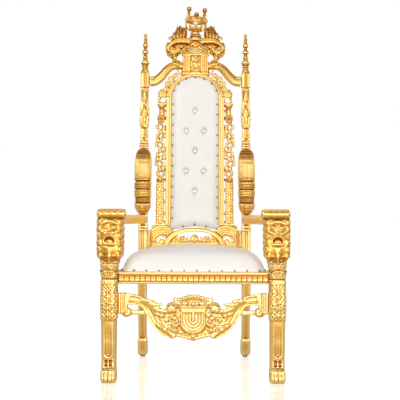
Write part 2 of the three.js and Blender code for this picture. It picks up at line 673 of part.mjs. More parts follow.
/** The open crown: base ring, flaring cup with a hollow inside, ball-topped points and petals. */
function crown() {
  const cup = turned([
    [0, CROWN_Z], [21, CROWN_Z], [26, 1673], [20, 1686], [38, 1702], [54, 1724], [60, 1744],
    [58, 1758], [50, 1758], [44, 1732], [0, 1706],
  ], 10);
  const parts = [cup];
  for (const [x, y] of [[43, -16], [-43, -16], [0, 48]]) {
    parts.push(strand([[x, y, 1744], [x, y, 1798]], () => [8, 8], { steps: 1 }));
    parts.push(blob([x, y, 1803], [13, 13, 12]));
  }
  parts.push(blob([0, -46, 1766], [13, 9, 16]));
  const petals = [[-58, 40], [-22, 46], [22, 46], [58, 40]];
  parts.push(palmette([0, -40, 1700], petals, { back: 30, lift: 12 }));
  return fuse(parts)
    .translate(0, 0, -CROWN_Z)
    .rotateY(CROWN_TILT)
    .translate(0, backLine(CROWN_Z) + CROWN_FORWARD, CROWN_Z);
}

// ---------------------------------------------------------------- assembly
const throne = new THREE.Group();

function add(name, geometry, material, parent = throne) {
  const mesh = new THREE.Mesh(geometry, material);
  mesh.name = name;
  parent.add(mesh);
  return mesh;
}

/** Adds a piece on the sitter's left (+X), and its mirror image on the right. */
function addPair(name, geometry, material, x = 0, y = 0) {
  add(`${name}_left`, geometry, material).position.set(x, y, 0);
  const other = add(`${name}_right`, geometry, material);
  other.position.set(-x, y, 0);
  other.scale.x = -1;
}

addPair('back_post', backPost(), gold, POST_X);
addPair('post_scroll', postScroll(), gold, POST_X);
addPair('back_side_panel', sidePanel(), gold);
add('back_arch', archFrame(), gold);
add('back_lower_rail', lowerRail(), gold);
add('crest', crest(), gold);
add('crown', crown(), gold);
add('back_pad', backPad(), leather);
add('seat_cushion', seatCushion(), leather);
add('front_rail', frontRail(), gold);
addPair('side_rail', sideRail(), gold);
add('back_rail', backRail(), gold);
addPair('front_leg', frontLeg(), gold, LEG_X, LEG_Y);
addPair('lion_head', lionHead(), gold, HEAD_X, LEG_Y);
addPair('arm', arm(), gold);
add('front_apron', apron(), gold);

const buttonDepth = PAD_FRONT + WELL_DEPTH / 2; // the stones rest in the wells
buttonPlaces().forEach(([x, z], k) => {
  add(`back_button_${k + 1}`, buttonStone(), crystal).position.set(x, buttonDepth + backLine(z), z);
});

const glide = new THREE.CylinderGeometry(13, 13, GLIDE_HEIGHT, 8).rotateX(Math.PI / 2);
glide.translate(0, 0, GLIDE_HEIGHT / 2);
addPair('rear_glide', glide, nylon, POST_X, backLine(0));

// the origin is on the floor under the middle of the whole throne
const extent = new THREE.Box3().setFromObject(throne);
throne.position.y = -(extent.min.y + extent.max.y) / 2;

export default throne;
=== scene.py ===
"""Looks for a carved and gilded throne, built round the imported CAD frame.

Lengths in this script are millimetres, turned into metres where a mesh is made. +X is the sitter's left,
the sitter faces -Y and +Z is up. Carved pieces are made of swept strips, stems and balls that are melted
into one skin; turned and moulded pieces are lofted rings whose relief is worked out by functions.
"""
import math

import bpy
import numpy as np
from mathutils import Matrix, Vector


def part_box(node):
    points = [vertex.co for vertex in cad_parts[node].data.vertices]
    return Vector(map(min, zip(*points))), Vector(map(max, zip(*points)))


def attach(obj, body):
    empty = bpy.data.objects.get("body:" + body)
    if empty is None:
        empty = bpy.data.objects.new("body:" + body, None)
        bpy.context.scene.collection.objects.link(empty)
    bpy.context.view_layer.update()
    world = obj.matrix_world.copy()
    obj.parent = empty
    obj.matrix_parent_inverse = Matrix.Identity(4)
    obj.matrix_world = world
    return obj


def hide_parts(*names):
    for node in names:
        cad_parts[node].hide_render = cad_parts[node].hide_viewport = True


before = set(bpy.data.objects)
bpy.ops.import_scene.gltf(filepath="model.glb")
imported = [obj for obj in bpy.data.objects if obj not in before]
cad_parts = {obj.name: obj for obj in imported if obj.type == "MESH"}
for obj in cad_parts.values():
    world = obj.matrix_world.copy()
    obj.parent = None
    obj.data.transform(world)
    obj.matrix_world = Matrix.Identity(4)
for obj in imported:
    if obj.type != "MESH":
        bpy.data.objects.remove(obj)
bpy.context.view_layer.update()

# ---------------------------------------------------------------- dimensions
MM = 0.001
FRONT = np.array([0.0, -1.0, 0.0])
LEAN = 0.11                     # the back leans 110 mm in each metre
LEAN_START = 450
SPLAY = 65                      # the rear feet stand this far behind the seat


def box_of(node):
    """Lowest and highest corner of a CAD node in millimetres."""
    low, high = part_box(node)
    return np.array(low) / MM, np.array(high) / MM


def middle_of(node):
    low, high = box_of(node)
    return (low + high) / 2


BACK_Y = middle_of("back_rail")[1]
POST_X = middle_of("rear_glide_left")[0]
GLIDE_TOP = box_of("rear_glide_left")[1][2]
LEG_X, LEG_Y = middle_of("front_leg_left")[0], middle_of("front_leg_left")[1] + 13.7
HEAD_X = middle_of("lion_head_left")[0]
APRON_Y = middle_of("front_apron")[1] + 5
SEAT_TOP = box_of("front_rail")[1][2]
PAD_LOW, PAD_HIGH = box_of("back_pad")
SEAT_LOW, SEAT_HIGH = box_of("seat_cushion")
CREST_LOW, CREST_HIGH = box_of("crest")


# ---------------------------------------------------------------- curves and closed skins
def unit(vectors):
    return vectors / np.maximum(np.linalg.norm(vectors, axis=-1, keepdims=True), 1e-9)


def curve(points, count=40):
    """Evenly spaced points on a smooth line through the given ones."""
    p = np.array(points, float)
    if len(p) == 2:
        return p[0] + (p[1] - p[0]) * np.linspace(0, 1, count)[:, None]
    p = np.vstack([2 * p[0] - p[1], p, 2 * p[-1] - p[-2]])
    spans = len(p) - 3
    t = np.linspace(0, spans, 24 * spans + 1)
    i = np.minimum(t.astype(int), spans - 1)
    f = (t - i)[:, None]
    a, b, c, d = p[i], p[i + 1], p[i + 2], p[i + 3]
    line = 0.5 * (2 * b + (c - a) * f + (2 * a - 5 * b + 4 * c - d) * f**2 + (3 * b - a - 3 * c + d) * f**3)
    run = np.concatenate([[0], np.cumsum(np.linalg.norm(np.diff(line, axis=0), axis=1))])
    at = np.linspace(0, run[-1], count)
    return np.stack([np.interp(at, run, line[:, k]) for k in range(3)], 1)


def eased(at, stations):
    """Values between stations (place, value), rounded off at each station like a turned profile."""
    places, values = (np.array(column, float) for column in zip(*stations))
    i = np.clip(np.searchsorted(places, at, side="right") - 1, 0, len(places) - 2)
    s = np.clip((at - places[i]) / (places[i + 1] - places[i]), 0, 1)
    return values[i] + (values[i + 1] - values[i]) * (0.5 - 0.5 * np.cos(np.pi * s))


def outward(points, faces):
    """Turns the faces round if the skin is inside out."""
    a, b, c = (points[faces[:, k]] for k in range(3))
    volume = np.einsum("ij,ij->i", a, np.cross(b, c)).sum()
    return (points, faces) if volume > 0 else (points, faces[:, ::-1])


def loft(rings):
    """A closed skin over rings of points, one after the other, with flat ends."""
    count, sides, _ = rings.shape
    points = np.vstack([rings.reshape(-1, 3), rings[0].mean(0), rings[-1].mean(0)])
    i, j = np.meshgrid(np.arange(count - 1), np.arange(sides), indexing="ij")
    a = (i * sides + j).ravel()
    b = (i * sides + (j + 1) % sides).ravel()
    k = np.arange(sides)
    after = (k + 1) % sides
    last = (count - 1) * sides
    start, end = np.full(sides, count * sides), np.full(sides, count * sides + 1)
    faces = np.vstack([
        np.stack([a, b, a + sides], 1), np.stack([b, b + sides, a + sides], 1),
        np.stack([start, after, k], 1), np.stack([end, last + k, last + after], 1),
    ])
    return outward(points, faces)


def frames(line, facing):
    """Directions along, across and out from a line, where out turns towards facing."""
    along = unit(np.gradient(line, axis=0))
    across = unit(np.cross(facing, along))
    return along, across, unit(np.cross(along, across))


def ribbon(points, half, front, back=5.0, facing=FRONT, count=40, columns=14):
    """A strip along a line: half(t) is its half width, front(u, t) its height where u runs -1 to 1 across."""
    line = curve(points, count)
    _, across, out = frames(line, facing)
    t, u = np.meshgrid(np.linspace(0, 1, count), np.linspace(-1, 1, columns + 1), indexing="ij")
    width = (u * half(t))[..., None]
    top = line[:, None] + across[:, None] * width + out[:, None] * (front(u, t) + 0 * u)[..., None]
    under = line[:, None] + across[:, None] * width * 0.97 - out[:, None] * back
    return loft(np.concatenate([top, under[:, ::-1]], 1))


def stem(points, half_width, half_depth, facing=FRONT, count=40, sides=16):
    """A rounded stem along a line; the half sizes are numbers or functions of the share t along it."""
    line = curve(points, count)
    _, across, out = frames(line, facing)
    t = np.linspace(0, 1, count)
    turn = np.linspace(0, 2 * np.pi, sides, endpoint=False)
    a, b = (np.broadcast_to(size(t) if callable(size) else size, (count,)) for size in (half_width, half_depth))
    ring = (across[:, None] * (a[:, None] * np.cos(turn))[..., None]
            + out[:, None] * (b[:, None] * np.sin(turn))[..., None])
    return loft(line[:, None] + ring)


def leaf(root, tip, width, bow=6, thick=6, lobes=3, back=4, facing=FRONT, bend=0.0, blunt=0.0):
    """An acanthus leaf: lobed edge, raised midrib and veins. bend swings its middle sideways."""
    root, tip = np.array(root, float), np.array(tip, float)
    aside = unit(np.cross(facing, tip - root))
    middle = (root + tip) / 2 + facing * bow + aside * bend

    def half(t):
        body = np.sin(np.pi * (0.14 + (0.86 - blunt) * t) ** 0.85) ** 0.7
        return np.maximum(width / 2 * body * (0.74 + 0.26 * np.abs(np.sin(np.pi * lobes * t)) ** 0.7), 0.7)

    def front(u, t):
        rib = np.exp(-(u / 0.18) ** 2)
        veins = np.cos(2 * np.pi * (lobes * t - 0.5 * np.abs(u))) * np.abs(u)
        return thick * (1 - 0.7 * t) * (0.55 * np.sqrt(1 - 0.9 * u**2) + 0.45 * rib) + 0.9 * veins

    return ribbon([root, middle, tip], half, front, back, facing, count=30, columns=12)


def finger(root, tip, width, bow=8, thick=8, back=5):
    """A long leaf lobe with a round tip and a groove down its middle."""
    root, tip = np.array(root, float), np.array(tip, float)
    middle = (root + tip) / 2 + FRONT * bow

    def half(t):
        return width / 2 * np.sqrt(np.clip(1 - np.clip((t - 0.72) / 0.28, 0, 0.995) ** 2, 0, 1)) * (0.72 + 0.28 * t)

    def front(u, t):
        return thick * np.sqrt(1 - 0.85 * u**2) * (1 - 0.3 * t) - 2.0 * np.exp(-(u / 0.2) ** 2)

    return ribbon([root, middle, tip], half, front, back, count=30, columns=12)


def spray(center, rays, width, bow=7, thick=6, lobes=3, back=4, bend=0.0):
    """Leaves fanned out from one place; a ray is (degrees clockwise from upright, length)."""
    center = np.array(center, float)
    leaves = []
    for angle, length in rays:
        a = math.radians(angle)
        tip = center + length * np.array([math.sin(a), 0, math.cos(a)])
        side = math.copysign(bend, angle) if bend else 0
        leaves.append(leaf(center, tip, width, bow, thick, lobes, back, bend=side))
    return leaves


def ball(center, radii, rows=12, sides=20):
    polar = np.linspace(0.02, np.pi - 0.02, rows)[:, None]
    turn = np.linspace(0, 2 * np.pi, sides, endpoint=False)[None]
    rings = np.stack([np.sin(polar) * np.cos(turn), np.sin(polar) * np.sin(turn), np.cos(polar) + 0 * turn], 2)
    return loft(np.array(center, float) + rings * np.array(radii, float))


def volute(center, radius, turns, start, turn, width, depth, rise=6, eye=0.34, count=70):
    """A spiral in the XZ plane that winds in from its outer end and rises to a round eye."""
    center = np.array(center, float)
    t = np.linspace(0, 1, count)
    a = math.radians(start) + turn * 2 * np.pi * turns * t
    r = radius * (1 - 0.72 * t)
    line = center + np.stack([r * np.cos(a), -rise * t, r * np.sin(a)], 1)
    return [stem(line, lambda s: width * (1 - 0.4 * s), depth, count=count, sides=10),
            ball(center - [0, rise * 0.6, 0], [eye * radius, depth * 0.9, eye * radius])]


def block(low, high):
    low, high = np.array(low, float), np.array(high, float)
    x, y = np.array([0, 1, 1, 0]), np.array([0, 0, 1, 1])
    ring = np.stack([low[0] + x * (high[0] - low[0]), low[1] + y * (high[1] - low[1])], 1)
    return loft(np.stack([np.column_stack([ring, np.full(4, z)]) for z in (low[2], high[2])]))


def bead_row(points, radius, count):
    return [ball(p, [radius] * 3, 7, 10) for p in curve(points, count)]


def ridge(distance, width):
    """Height of a unit ridge at a distance from its crest."""
    return np.exp(-(distance / width) ** 2)


def ellipse(x, z, center, radii):
    """True inside an upright ellipse."""
    return ((x - center[0]) / radii[0]) ** 2 + ((z - center[1]) / radii[1]) ** 2 < 1


def near(x, z, points, half):
    """True within half(t) of a smooth line through (x, z) points, where t is the share along it."""
    line = curve([(a, 0, b) for a, b in points], 60)
    away = np.hypot(x[..., None] - line[:, 0], z[..., None] - line[:, 2])
    t = away.argmin(-1) / 59
    return away.min(-1) < (half(t) if callable(half) else half)


def pierced(solid, low, high, front=6.0, back=8.0, step=2.5):
    """A plate across the XZ plane, wherever solid(x, z) is true."""
    x, z = (np.arange(a, b + step, step) for a, b in zip(low, high))
    grid_x, grid_z = np.meshgrid(x, z, indexing="ij")
    keep = np.pad(solid(grid_x[:-1, :-1] + step / 2, grid_z[:-1, :-1] + step / 2), 1)
    i, j = np.nonzero(keep[1:-1, 1:-1])
    a = i * len(z) + j
    b, c, d, size = a + len(z), a + len(z) + 1, a + 1, len(x) * len(z)
    quads = [np.stack([a, b, c, d], 1), np.stack([a, d, c, b], 1) + size]
    for side, up, start, end in ((-1, 0, a, d), (1, 0, c, b), (0, -1, b, a), (0, 1, d, c)):
        edge = ~keep[i + 1 + side, j + 1 + up]
        quads.append(np.stack([start, end, end + size, start + size], 1)[edge])
    quads = np.vstack(quads)
    layers = [np.stack([grid_x, 0 * grid_x + y, grid_z], 2).reshape(-1, 3) for y in (-front, back)]
    used, corners = np.unique(quads, return_inverse=True)
    corners = corners.reshape(-1, 4)
    return np.vstack(layers)[used], np.vstack([corners[:, [0, 1, 2]], corners[:, [0, 2, 3]]])


def mirrored(parts):
    """The parts and their mirror images across the middle."""
    return parts + [(points * [-1, 1, 1], faces[:, ::-1]) for points, faces in parts]


def lathe(center, profile, segments=32):
    """A turned form about an upright axis; profile is (radius, height) from bottom to top."""
    turn = np.linspace(0, 2 * np.pi, segments, endpoint=False)
    rings = [[(center[0] + r * math.cos(a), center[1] + r * math.sin(a), z) for a in turn] for r, z in profile]
    return loft(np.array(rings))


# ---------------------------------------------------------------- melting parts into one skin
def joined(parts):
    points, faces, start = [], [], 0
    for p, f in parts:
        points.append(p)
        faces.append(f + start)
        start += len(p)
    return np.vstack(points), np.vstack(faces)


def mesh_of(points, faces, name="work"):
    mesh = bpy.data.meshes.new(name)
    mesh.from_pydata(points.tolist(), [], faces.tolist())
    mesh.update()
    return mesh


def melted(parts, voxel):
    """One skin round all the parts, as points and four-sided faces."""
    work = bpy.data.objects.new("work", mesh_of(*joined(parts)))
    bpy.context.scene.collection.objects.link(work)
    remesh = work.modifiers.new("melt", "REMESH")
    remesh.mode = "VOXEL"
    remesh.voxel_size = voxel
    made = work.evaluated_get(bpy.context.evaluated_depsgraph_get()).to_mesh()
    points = np.zeros(len(made.vertices) * 3)
    made.vertices.foreach_get("co", points)
    corners = np.zeros(len(made.loops), int)
    made.loops.foreach_get("vertex_index", corners)
    bpy.data.objects.remove(work)
    return points.reshape(-1, 3), corners.reshape(-1, 4)


def neighbours(faces, count):
    edges = np.vstack([np.stack([faces[:, k], faces[:, (k + 1) % faces.shape[1]]], 1)
                       for k in range(faces.shape[1])])
    edges = np.vstack([edges, edges[:, ::-1]])
    return edges, np.maximum(np.bincount(edges[:, 0], minlength=count), 1)


def smoothed(points, faces, rounds, share=0.5):
    """Moves every point towards the middle of its neighbours, rounds times."""
    edges, degree = neighbours(faces, len(points))
    for _ in range(rounds):
        mean = np.stack([np.bincount(edges[:, 0], points[edges[:, 1], k], len(points))
                         for k in range(3)], 1) / degree[:, None]
        points = points + share * (mean - points)
    return points


def normals_of(points, faces):
    if faces.shape[1] == 4:
        facing = np.cross(points[faces[:, 2]] - points[faces[:, 0]], points[faces[:, 3]] - points[faces[:, 1]])
    else:
        facing = np.cross(points[faces[:, 1]] - points[faces[:, 0]], points[faces[:, 2]] - points[faces[:, 0]])
    total = np.stack([sum(np.bincount(faces[:, c], facing[:, k], len(points)) for c in range(faces.shape[1]))
                      for k in range(3)], 1)
    return unit(total)


def hollowness(points, faces, rounds=7, depth=1.3):
    """How far each point lies in a hollow (towards 1) or on a ridge (towards -1)."""
    away = smoothed(points, faces, rounds, 0.6) - points
    lift = np.einsum("ij,ij->i", away, normals_of(points, faces))
    return np.clip(lift / depth, -1, 1)


def hand_carved(points, faces, depth=0.5):
    """Small tool marks: the skin waves in and out along its normals, the same way on every run."""
    x, y, z = points.T
    wave = (np.sin(x * 0.31 + 1.3 * np.sin(z * 0.17)) * np.sin(z * 0.27 + 0.7 * np.sin(y * 0.33))
            + 0.6 * np.sin(x * 0.63 - y * 0.41 + 2.1) * np.sin(z * 0.71 + x * 0.23))
    return points + normals_of(points, faces) * (depth * wave)[:, None]


def piece(name, points, faces, material, nodes=(), slot=None, darker=None):
    """Makes the object, hides the CAD nodes that it stands for and lets it ride on the body."""
    mesh = mesh_of(points * MM, faces, name)
    mesh.polygons.foreach_set("use_smooth", np.ones(len(faces), bool))
    # painted shade and highlight: hollows go towards 1 (shade), ridges towards -1 (highlight); darker adds painted
    # shade, or painted light where it is negative
    painted_shade_and_highlight = mesh.attributes.new("painted_shade_and_highlight", "FLOAT", "POINT")
    depth = hollowness(points, faces) + (0 if darker is None else darker)
    painted_shade_and_highlight.data.foreach_set("value", np.clip(depth, -1, 1).astype(np.float32))
    mesh.materials.append(material)
    made = bpy.data.objects.new(name, mesh)
    bpy.context.scene.collection.objects.link(made)
    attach(made, "root")
    if nodes:
        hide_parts(*nodes)
    return made


def pair(name, node, points, faces, material, slot, darker=None):
    """The piece on the sitter's left, and its mirror image on the right."""
    piece(f"{name}_left_carving", points, faces, material, [f"{node}_left"], slot, darker)
    piece(f"{name}_right_carving", points * [-1, 1, 1], faces[:, ::-1], material, [f"{node}_right"], slot, darker)


def back_line(z):
    """Depth of the back's centre line: leaning above the seat, splayed below it."""
    above = BACK_Y + LEAN * (z - LEAN_START)
    below = BACK_Y + SPLAY * np.maximum((LEAN_START - z) / LEAN_START, 0) ** 1.6
    return np.where(z >= LEAN_START, above, below)


def leaned(points):
    return points + np.stack([0 * points[:, 0], back_line(points[:, 2]), 0 * points[:, 0]], 1)


# ---------------------------------------------------------------- materials
def shader(name, **values):
    """A new material with its node tree, its Principled shader and plain values set on it."""
    material = bpy.data.materials.new(name)
    material.use_nodes = True
    tree = material.node_tree
    principled = tree.nodes["Principled BSDF"]
    for socket, value in values.items():
        principled.inputs[socket.replace("_", " ")].default_value = value
    return material, tree, principled


def add_node(tree, kind, values=(), **settings):
    made = tree.nodes.new(kind)
    for setting, value in settings.items():
        setattr(made, setting, value)
    for socket, value in dict(values).items():
        made.inputs[socket].default_value = value
    return made


def noise(tree, scale, detail=4.0):
    coordinates = add_node(tree, "ShaderNodeTexCoord")
    made = add_node(tree, "ShaderNodeTexNoise", {"Scale": scale, "Detail": detail})
    tree.links.new(coordinates.outputs["Object"], made.inputs["Vector"])
    return made


def ramp(tree, source, stops):
    made = add_node(tree, "ShaderNodeValToRGB")
    elements = made.color_ramp.elements
    while len(elements) < len(stops):
        elements.new(0.5)
    for element, (place, colour) in zip(elements, stops):
        element.position = place
        element.color = (*colour, 1)
    tree.links.new(source, made.inputs["Fac"])
    return made


def gilding():
    """Gold leaf over carved wood under a clear lacquer, with painted shade (browner) in the hollows and painted
    highlights (paler) on the ridges.
    """
    material, tree, gold = shader("gilding", Metallic=1.0, Coat_Weight=0.25, Coat_Roughness=0.15)
    painted_shade_and_highlight = add_node(tree, "ShaderNodeAttribute", attribute_name="painted_shade_and_highlight")
    share = add_node(tree, "ShaderNodeMapRange", {"From Min": -1.0, "From Max": 1.0})
    tree.links.new(painted_shade_and_highlight.outputs["Fac"], share.inputs["Value"])
    # painted highlight (pale gold) on ridges, plain gold between, painted shade (brown) in the hollows
    tone = ramp(tree, share.outputs["Result"], [
        (0.12, (1.0, 0.81, 0.40)), (0.42, (0.91, 0.58, 0.165)), (0.56, (0.79, 0.45, 0.10)),
        (0.88, (0.33, 0.11, 0.012)),
    ])
    cloud = noise(tree, 9.0)
    patchy = add_node(tree, "ShaderNodeMix", {"Factor": 0.12}, data_type="RGBA", blend_type="OVERLAY")
    tree.links.new(tone.outputs["Color"], patchy.inputs["A"])
    tree.links.new(cloud.outputs["Fac"], patchy.inputs["B"])
    tree.links.new(patchy.outputs["Result"], gold.inputs["Base Color"])
    rough = add_node(tree, "ShaderNodeMapRange", {"To Min": 0.26, "To Max": 0.38})
    tree.links.new(noise(tree, 60.0).outputs["Fac"], rough.inputs["Value"])
    tree.links.new(rough.outputs["Result"], gold.inputs["Roughness"])
    bump = add_node(tree, "ShaderNodeBump", {"Strength": 0.12, "Distance": 0.0004})
    tree.links.new(noise(tree, 180.0, 3.0).outputs["Fac"], bump.inputs["Height"])
    tree.links.new(bump.outputs["Normal"], gold.inputs["Normal"])
    return material


def leather_cover():
    """White coated leather: fine pebbled grain, faint warm shading in its hollows."""
    material, tree, cover = shader("white_leather", Roughness=0.36, Coat_Weight=0.15, Coat_Roughness=0.2)
    painted_shade_and_highlight = add_node(tree, "ShaderNodeAttribute", attribute_name="painted_shade_and_highlight")
    share = add_node(tree, "ShaderNodeMapRange", {"From Min": -1.0, "From Max": 1.0})
    tree.links.new(painted_shade_and_highlight.outputs["Fac"], share.inputs["Value"])
    tone = ramp(tree, share.outputs["Result"], [(0.5, (0.85, 0.84, 0.82)), (0.9, (0.58, 0.56, 0.52))])
    tree.links.new(tone.outputs["Color"], cover.inputs["Base Color"])
    coordinates = add_node(tree, "ShaderNodeTexCoord")
    grain = add_node(tree, "ShaderNodeTexVoronoi", {"Scale": 520.0}, feature="DISTANCE_TO_EDGE")
    tree.links.new(coordinates.outputs["Object"], grain.inputs["Vector"])
    bump = add_node(tree, "ShaderNodeBump", {"Strength": 0.22, "Distance": 0.0004})
    tree.links.new(grain.outputs["Distance"], bump.inputs["Height"])
    tree.links.new(bump.outputs["Normal"], cover.inputs["Normal"])
    return material


def crystal_glass():
    material, _, _ = shader("crystal", Base_Color=(0.95, 0.97, 1.0, 1), Roughness=0.05, IOR=1.8, Metallic=0.6,
                            Transmission_Weight=0.1)
    return material


def dark_nickel():
    material, tree, nickel = shader("dark_nickel", Base_Color=(0.22, 0.21, 0.19, 1), Metallic=1.0)
    rough = add_node(tree, "ShaderNodeMapRange", {"To Min": 0.25, "To Max": 0.5})
    tree.links.new(noise(tree, 300.0).outputs["Fac"], rough.inputs["Value"])
    tree.links.new(rough.outputs["Result"], nickel.inputs["Roughness"])
    return material


def brown_nylon():
    material, tree, nylon = shader("brown_nylon", Base_Color=(0.16, 0.08, 0.045, 1))
    rough = add_node(tree, "ShaderNodeMapRange", {"To Min": 0.4, "To Max": 0.65})
    tree.links.new(noise(tree, 200.0).outputs["Fac"], rough.inputs["Value"])
    tree.links.new(rough.outputs["Result"], nylon.inputs["Roughness"])
    return material


GOLD = gilding()
LEATHER = leather_cover()
CRYSTAL = crystal_glass()
NICKEL = dark_nickel()
NYLON = brown_nylon()


# ---------------------------------------------------------------- turned and squared stems with relief
def stem_grid(heights, sides):
    """Heights and turns round a stem, as two grids; a turn of 0.75 looks to the front."""
    turn = np.linspace(0, 1, sides, endpoint=False)
    return np.meshgrid(heights, turn, indexing="ij")


def leaf_ring(turn, z, root, tip, count, rise, shift=0.0):
    """Relief of a ring of pointed leaves round a stem."""
    u = ((turn * count + shift) % 1 - 0.5) * 2
    t = np.clip((z - root) / (tip - root), -1, 2)
    half = np.sqrt(np.clip(1 - np.clip(t, 0, 1) ** 2.2, 0, 1)) * (0.86 + 0.14 * np.abs(np.sin(3 * np.pi * t)))
    body = np.sqrt(np.clip(1 - (u / np.maximum(half, 0.05)) ** 2, 0, 1))
    rib = np.exp(-(u / 0.14) ** 2)
    height = rise * (body * (0.5 + 0.35 * t) + 0.3 * rib * (body > 0))
    return np.where((t > 0) & (t < 1), height, 0)


def dome(distance, radius):
    """Height of a unit dome at a distance from its middle."""
    return np.sqrt(np.clip(1 - (distance / radius) ** 2, 0, 1))


def rounded_square(turn, half_x, half_y, power):
    """Offsets of a section between round (power 2) and square (power 8)."""
    c, s = np.cos(2 * np.pi * turn), np.sin(2 * np.pi * turn)
    r = (np.abs(c) ** power + np.abs(s) ** power) ** (-1 / power)
    return r * c * half_x, r * s * half_y, c, s


POST_WIDTHS = [
    (6.3, 17), (9, 20), (20, 25.5), (84, 25.5), (96, 21.5), (240, 22), (400, 23), (640, 23), (645, 26), (652, 26),
    (655, 23.5), (660, 23.5), (664, 25.5), (670, 23), (1040, 22), (1062, 21), (1066, 24), (1071, 24), (1074, 20.5),
    (1078, 23.5), (1084, 23.5), (1087, 20), (1091, 22.5), (1097, 22.5), (1101, 19), (1120, 18), (1142, 16.5), (1168, 15.5),
    (1190, 17.5), (1224, 19.5), (1250, 18.5), (1290, 16), (1320, 14.5), (1352, 14.5), (1366, 18.5), (1378, 20), (1382, 19), (1386, 24), (1440, 24),
    (1456, 24.5), (1466, 22.5), (1476, 18), (1484, 15), (1490, 14.5), (1495, 18), (1503, 16.5), (1508, 19),
    (1513, 23.5), (1519, 23.5), (1524, 17), (1531, 12.5), (1537, 10.5), (1543, 14), (1548, 13.5), (1554, 9.5),
    (1562, 9.5), (1569, 18.5), (1576, 18.5), (1582, 12), (1590, 7.5), (1597, 8), (1604, 15), (1611, 15.5),
    (1618, 11), (1624, 9.5), (1650, 9), (1667, 7.5), (1671.5, 4),
]
POST_POWERS = [(6, 7), (1060, 7), (1066, 3.5), (1100, 2.8), (1380, 2.8), (1388, 3.4), (1460, 3.4), (1470, 2), (1680, 2)]


def post_relief(turn, z, x, front):
    """Flutes under the arm, leaves above and below the waist, and a beaded band."""
    flutes = 1.6 * np.cos(2 * np.pi * x / 9.5) * front
    carving = np.maximum.reduce([
        leaf_ring(turn, z, 1172, 1236, 4, 6.5), leaf_ring(turn, z, 1176, 1224, 4, 5.0, 0.5),
        leaf_ring(turn, z, 1220, 1282, 4, 6.0, 0.5), leaf_ring(turn, z, 1250, 1316, 4, 5.5),
        leaf_ring(turn, z, 1292, 1362, 4, 5.0, 0.5),
        leaf_ring(turn, z, 1168, 1104, 4, 5.5), leaf_ring(turn, z, 1164, 1116, 4, 4.0, 0.5),
    ])
    veins = np.abs(np.sin(np.pi * (4 * turn + z / 40)) * np.sin(np.pi * (4 * turn - z / 40))) ** 0.5
    carving = carving + 1.4 * veins * (np.abs(z - 1266) < 94)
    beads = 1.8 * np.abs(np.cos(np.pi * turn * 12)) * (np.abs(z - 1371) < 5)
    return flutes * (np.abs(z - 560) < 88) + carving + beads


def back_posts():
    sides = 48
    heights = np.unique(np.concatenate([np.arange(8, 1060, 10.0), np.arange(1060, 1672, 2.4), [p for p, _ in POST_WIDTHS]]))
    z, turn = stem_grid(heights, sides)
    half = eased(z, POST_WIDTHS)
    x, y, c, s = rounded_square(turn, half, half, eased(z, POST_POWERS))
    relief = post_relief(turn, z, x, s < -0.5)
    rings = np.stack([x + c * relief, y + s * relief, z], 2)
    points, faces = loft(rings)
    points[:, 2] = np.clip(points[:, 2], GLIDE_TOP + 0.3, 1671.9)
    # painted shade: the whole post a little darker and darker still in the finial's waists; painted light below 720 mm
    waists = sum(ridge(points[:, 2] - height, 9) for height in (1499, 1553, 1595, 1637))
    brown = 0.32 + 0.4 * waists - 0.3 * (points[:, 2] < 720)
    pair("back_post", "back_post", leaned(points) + [POST_X, 0, 0], faces, GOLD, "gold", brown)


SCROLL_DEPTHS = [
    (722.5, 14), (727, 26), (736, 38), (750, 50), (762, 56), (768, 60), (776, 61), (781, 50), (786, 36), (808, 36),
    (813, 47), (820, 56), (836, 61), (845, 66), (849, 58), (853, 49), (857, 56), (870, 61), (884, 66), (888, 58),
    (894, 48), (900, 60), (912, 65), (935, 66.5), (972, 66), (998, 62), (1020, 55), (1038, 45), (1051, 32), (1060, 17),
]
SCROLL_WIDTHS = [
    (722.5, 14), (727, 21), (736, 28), (750, 36), (764, 40.5), (777, 42.5), (787, 39), (806, 39), (816, 42), (845, 43),
    (854, 41), (862, 42.5), (885, 43), (895, 41), (902, 42.5), (985, 43), (1010, 41.5), (1030, 38), (1045, 32.5),
    (1055, 25), (1060, 16),
]


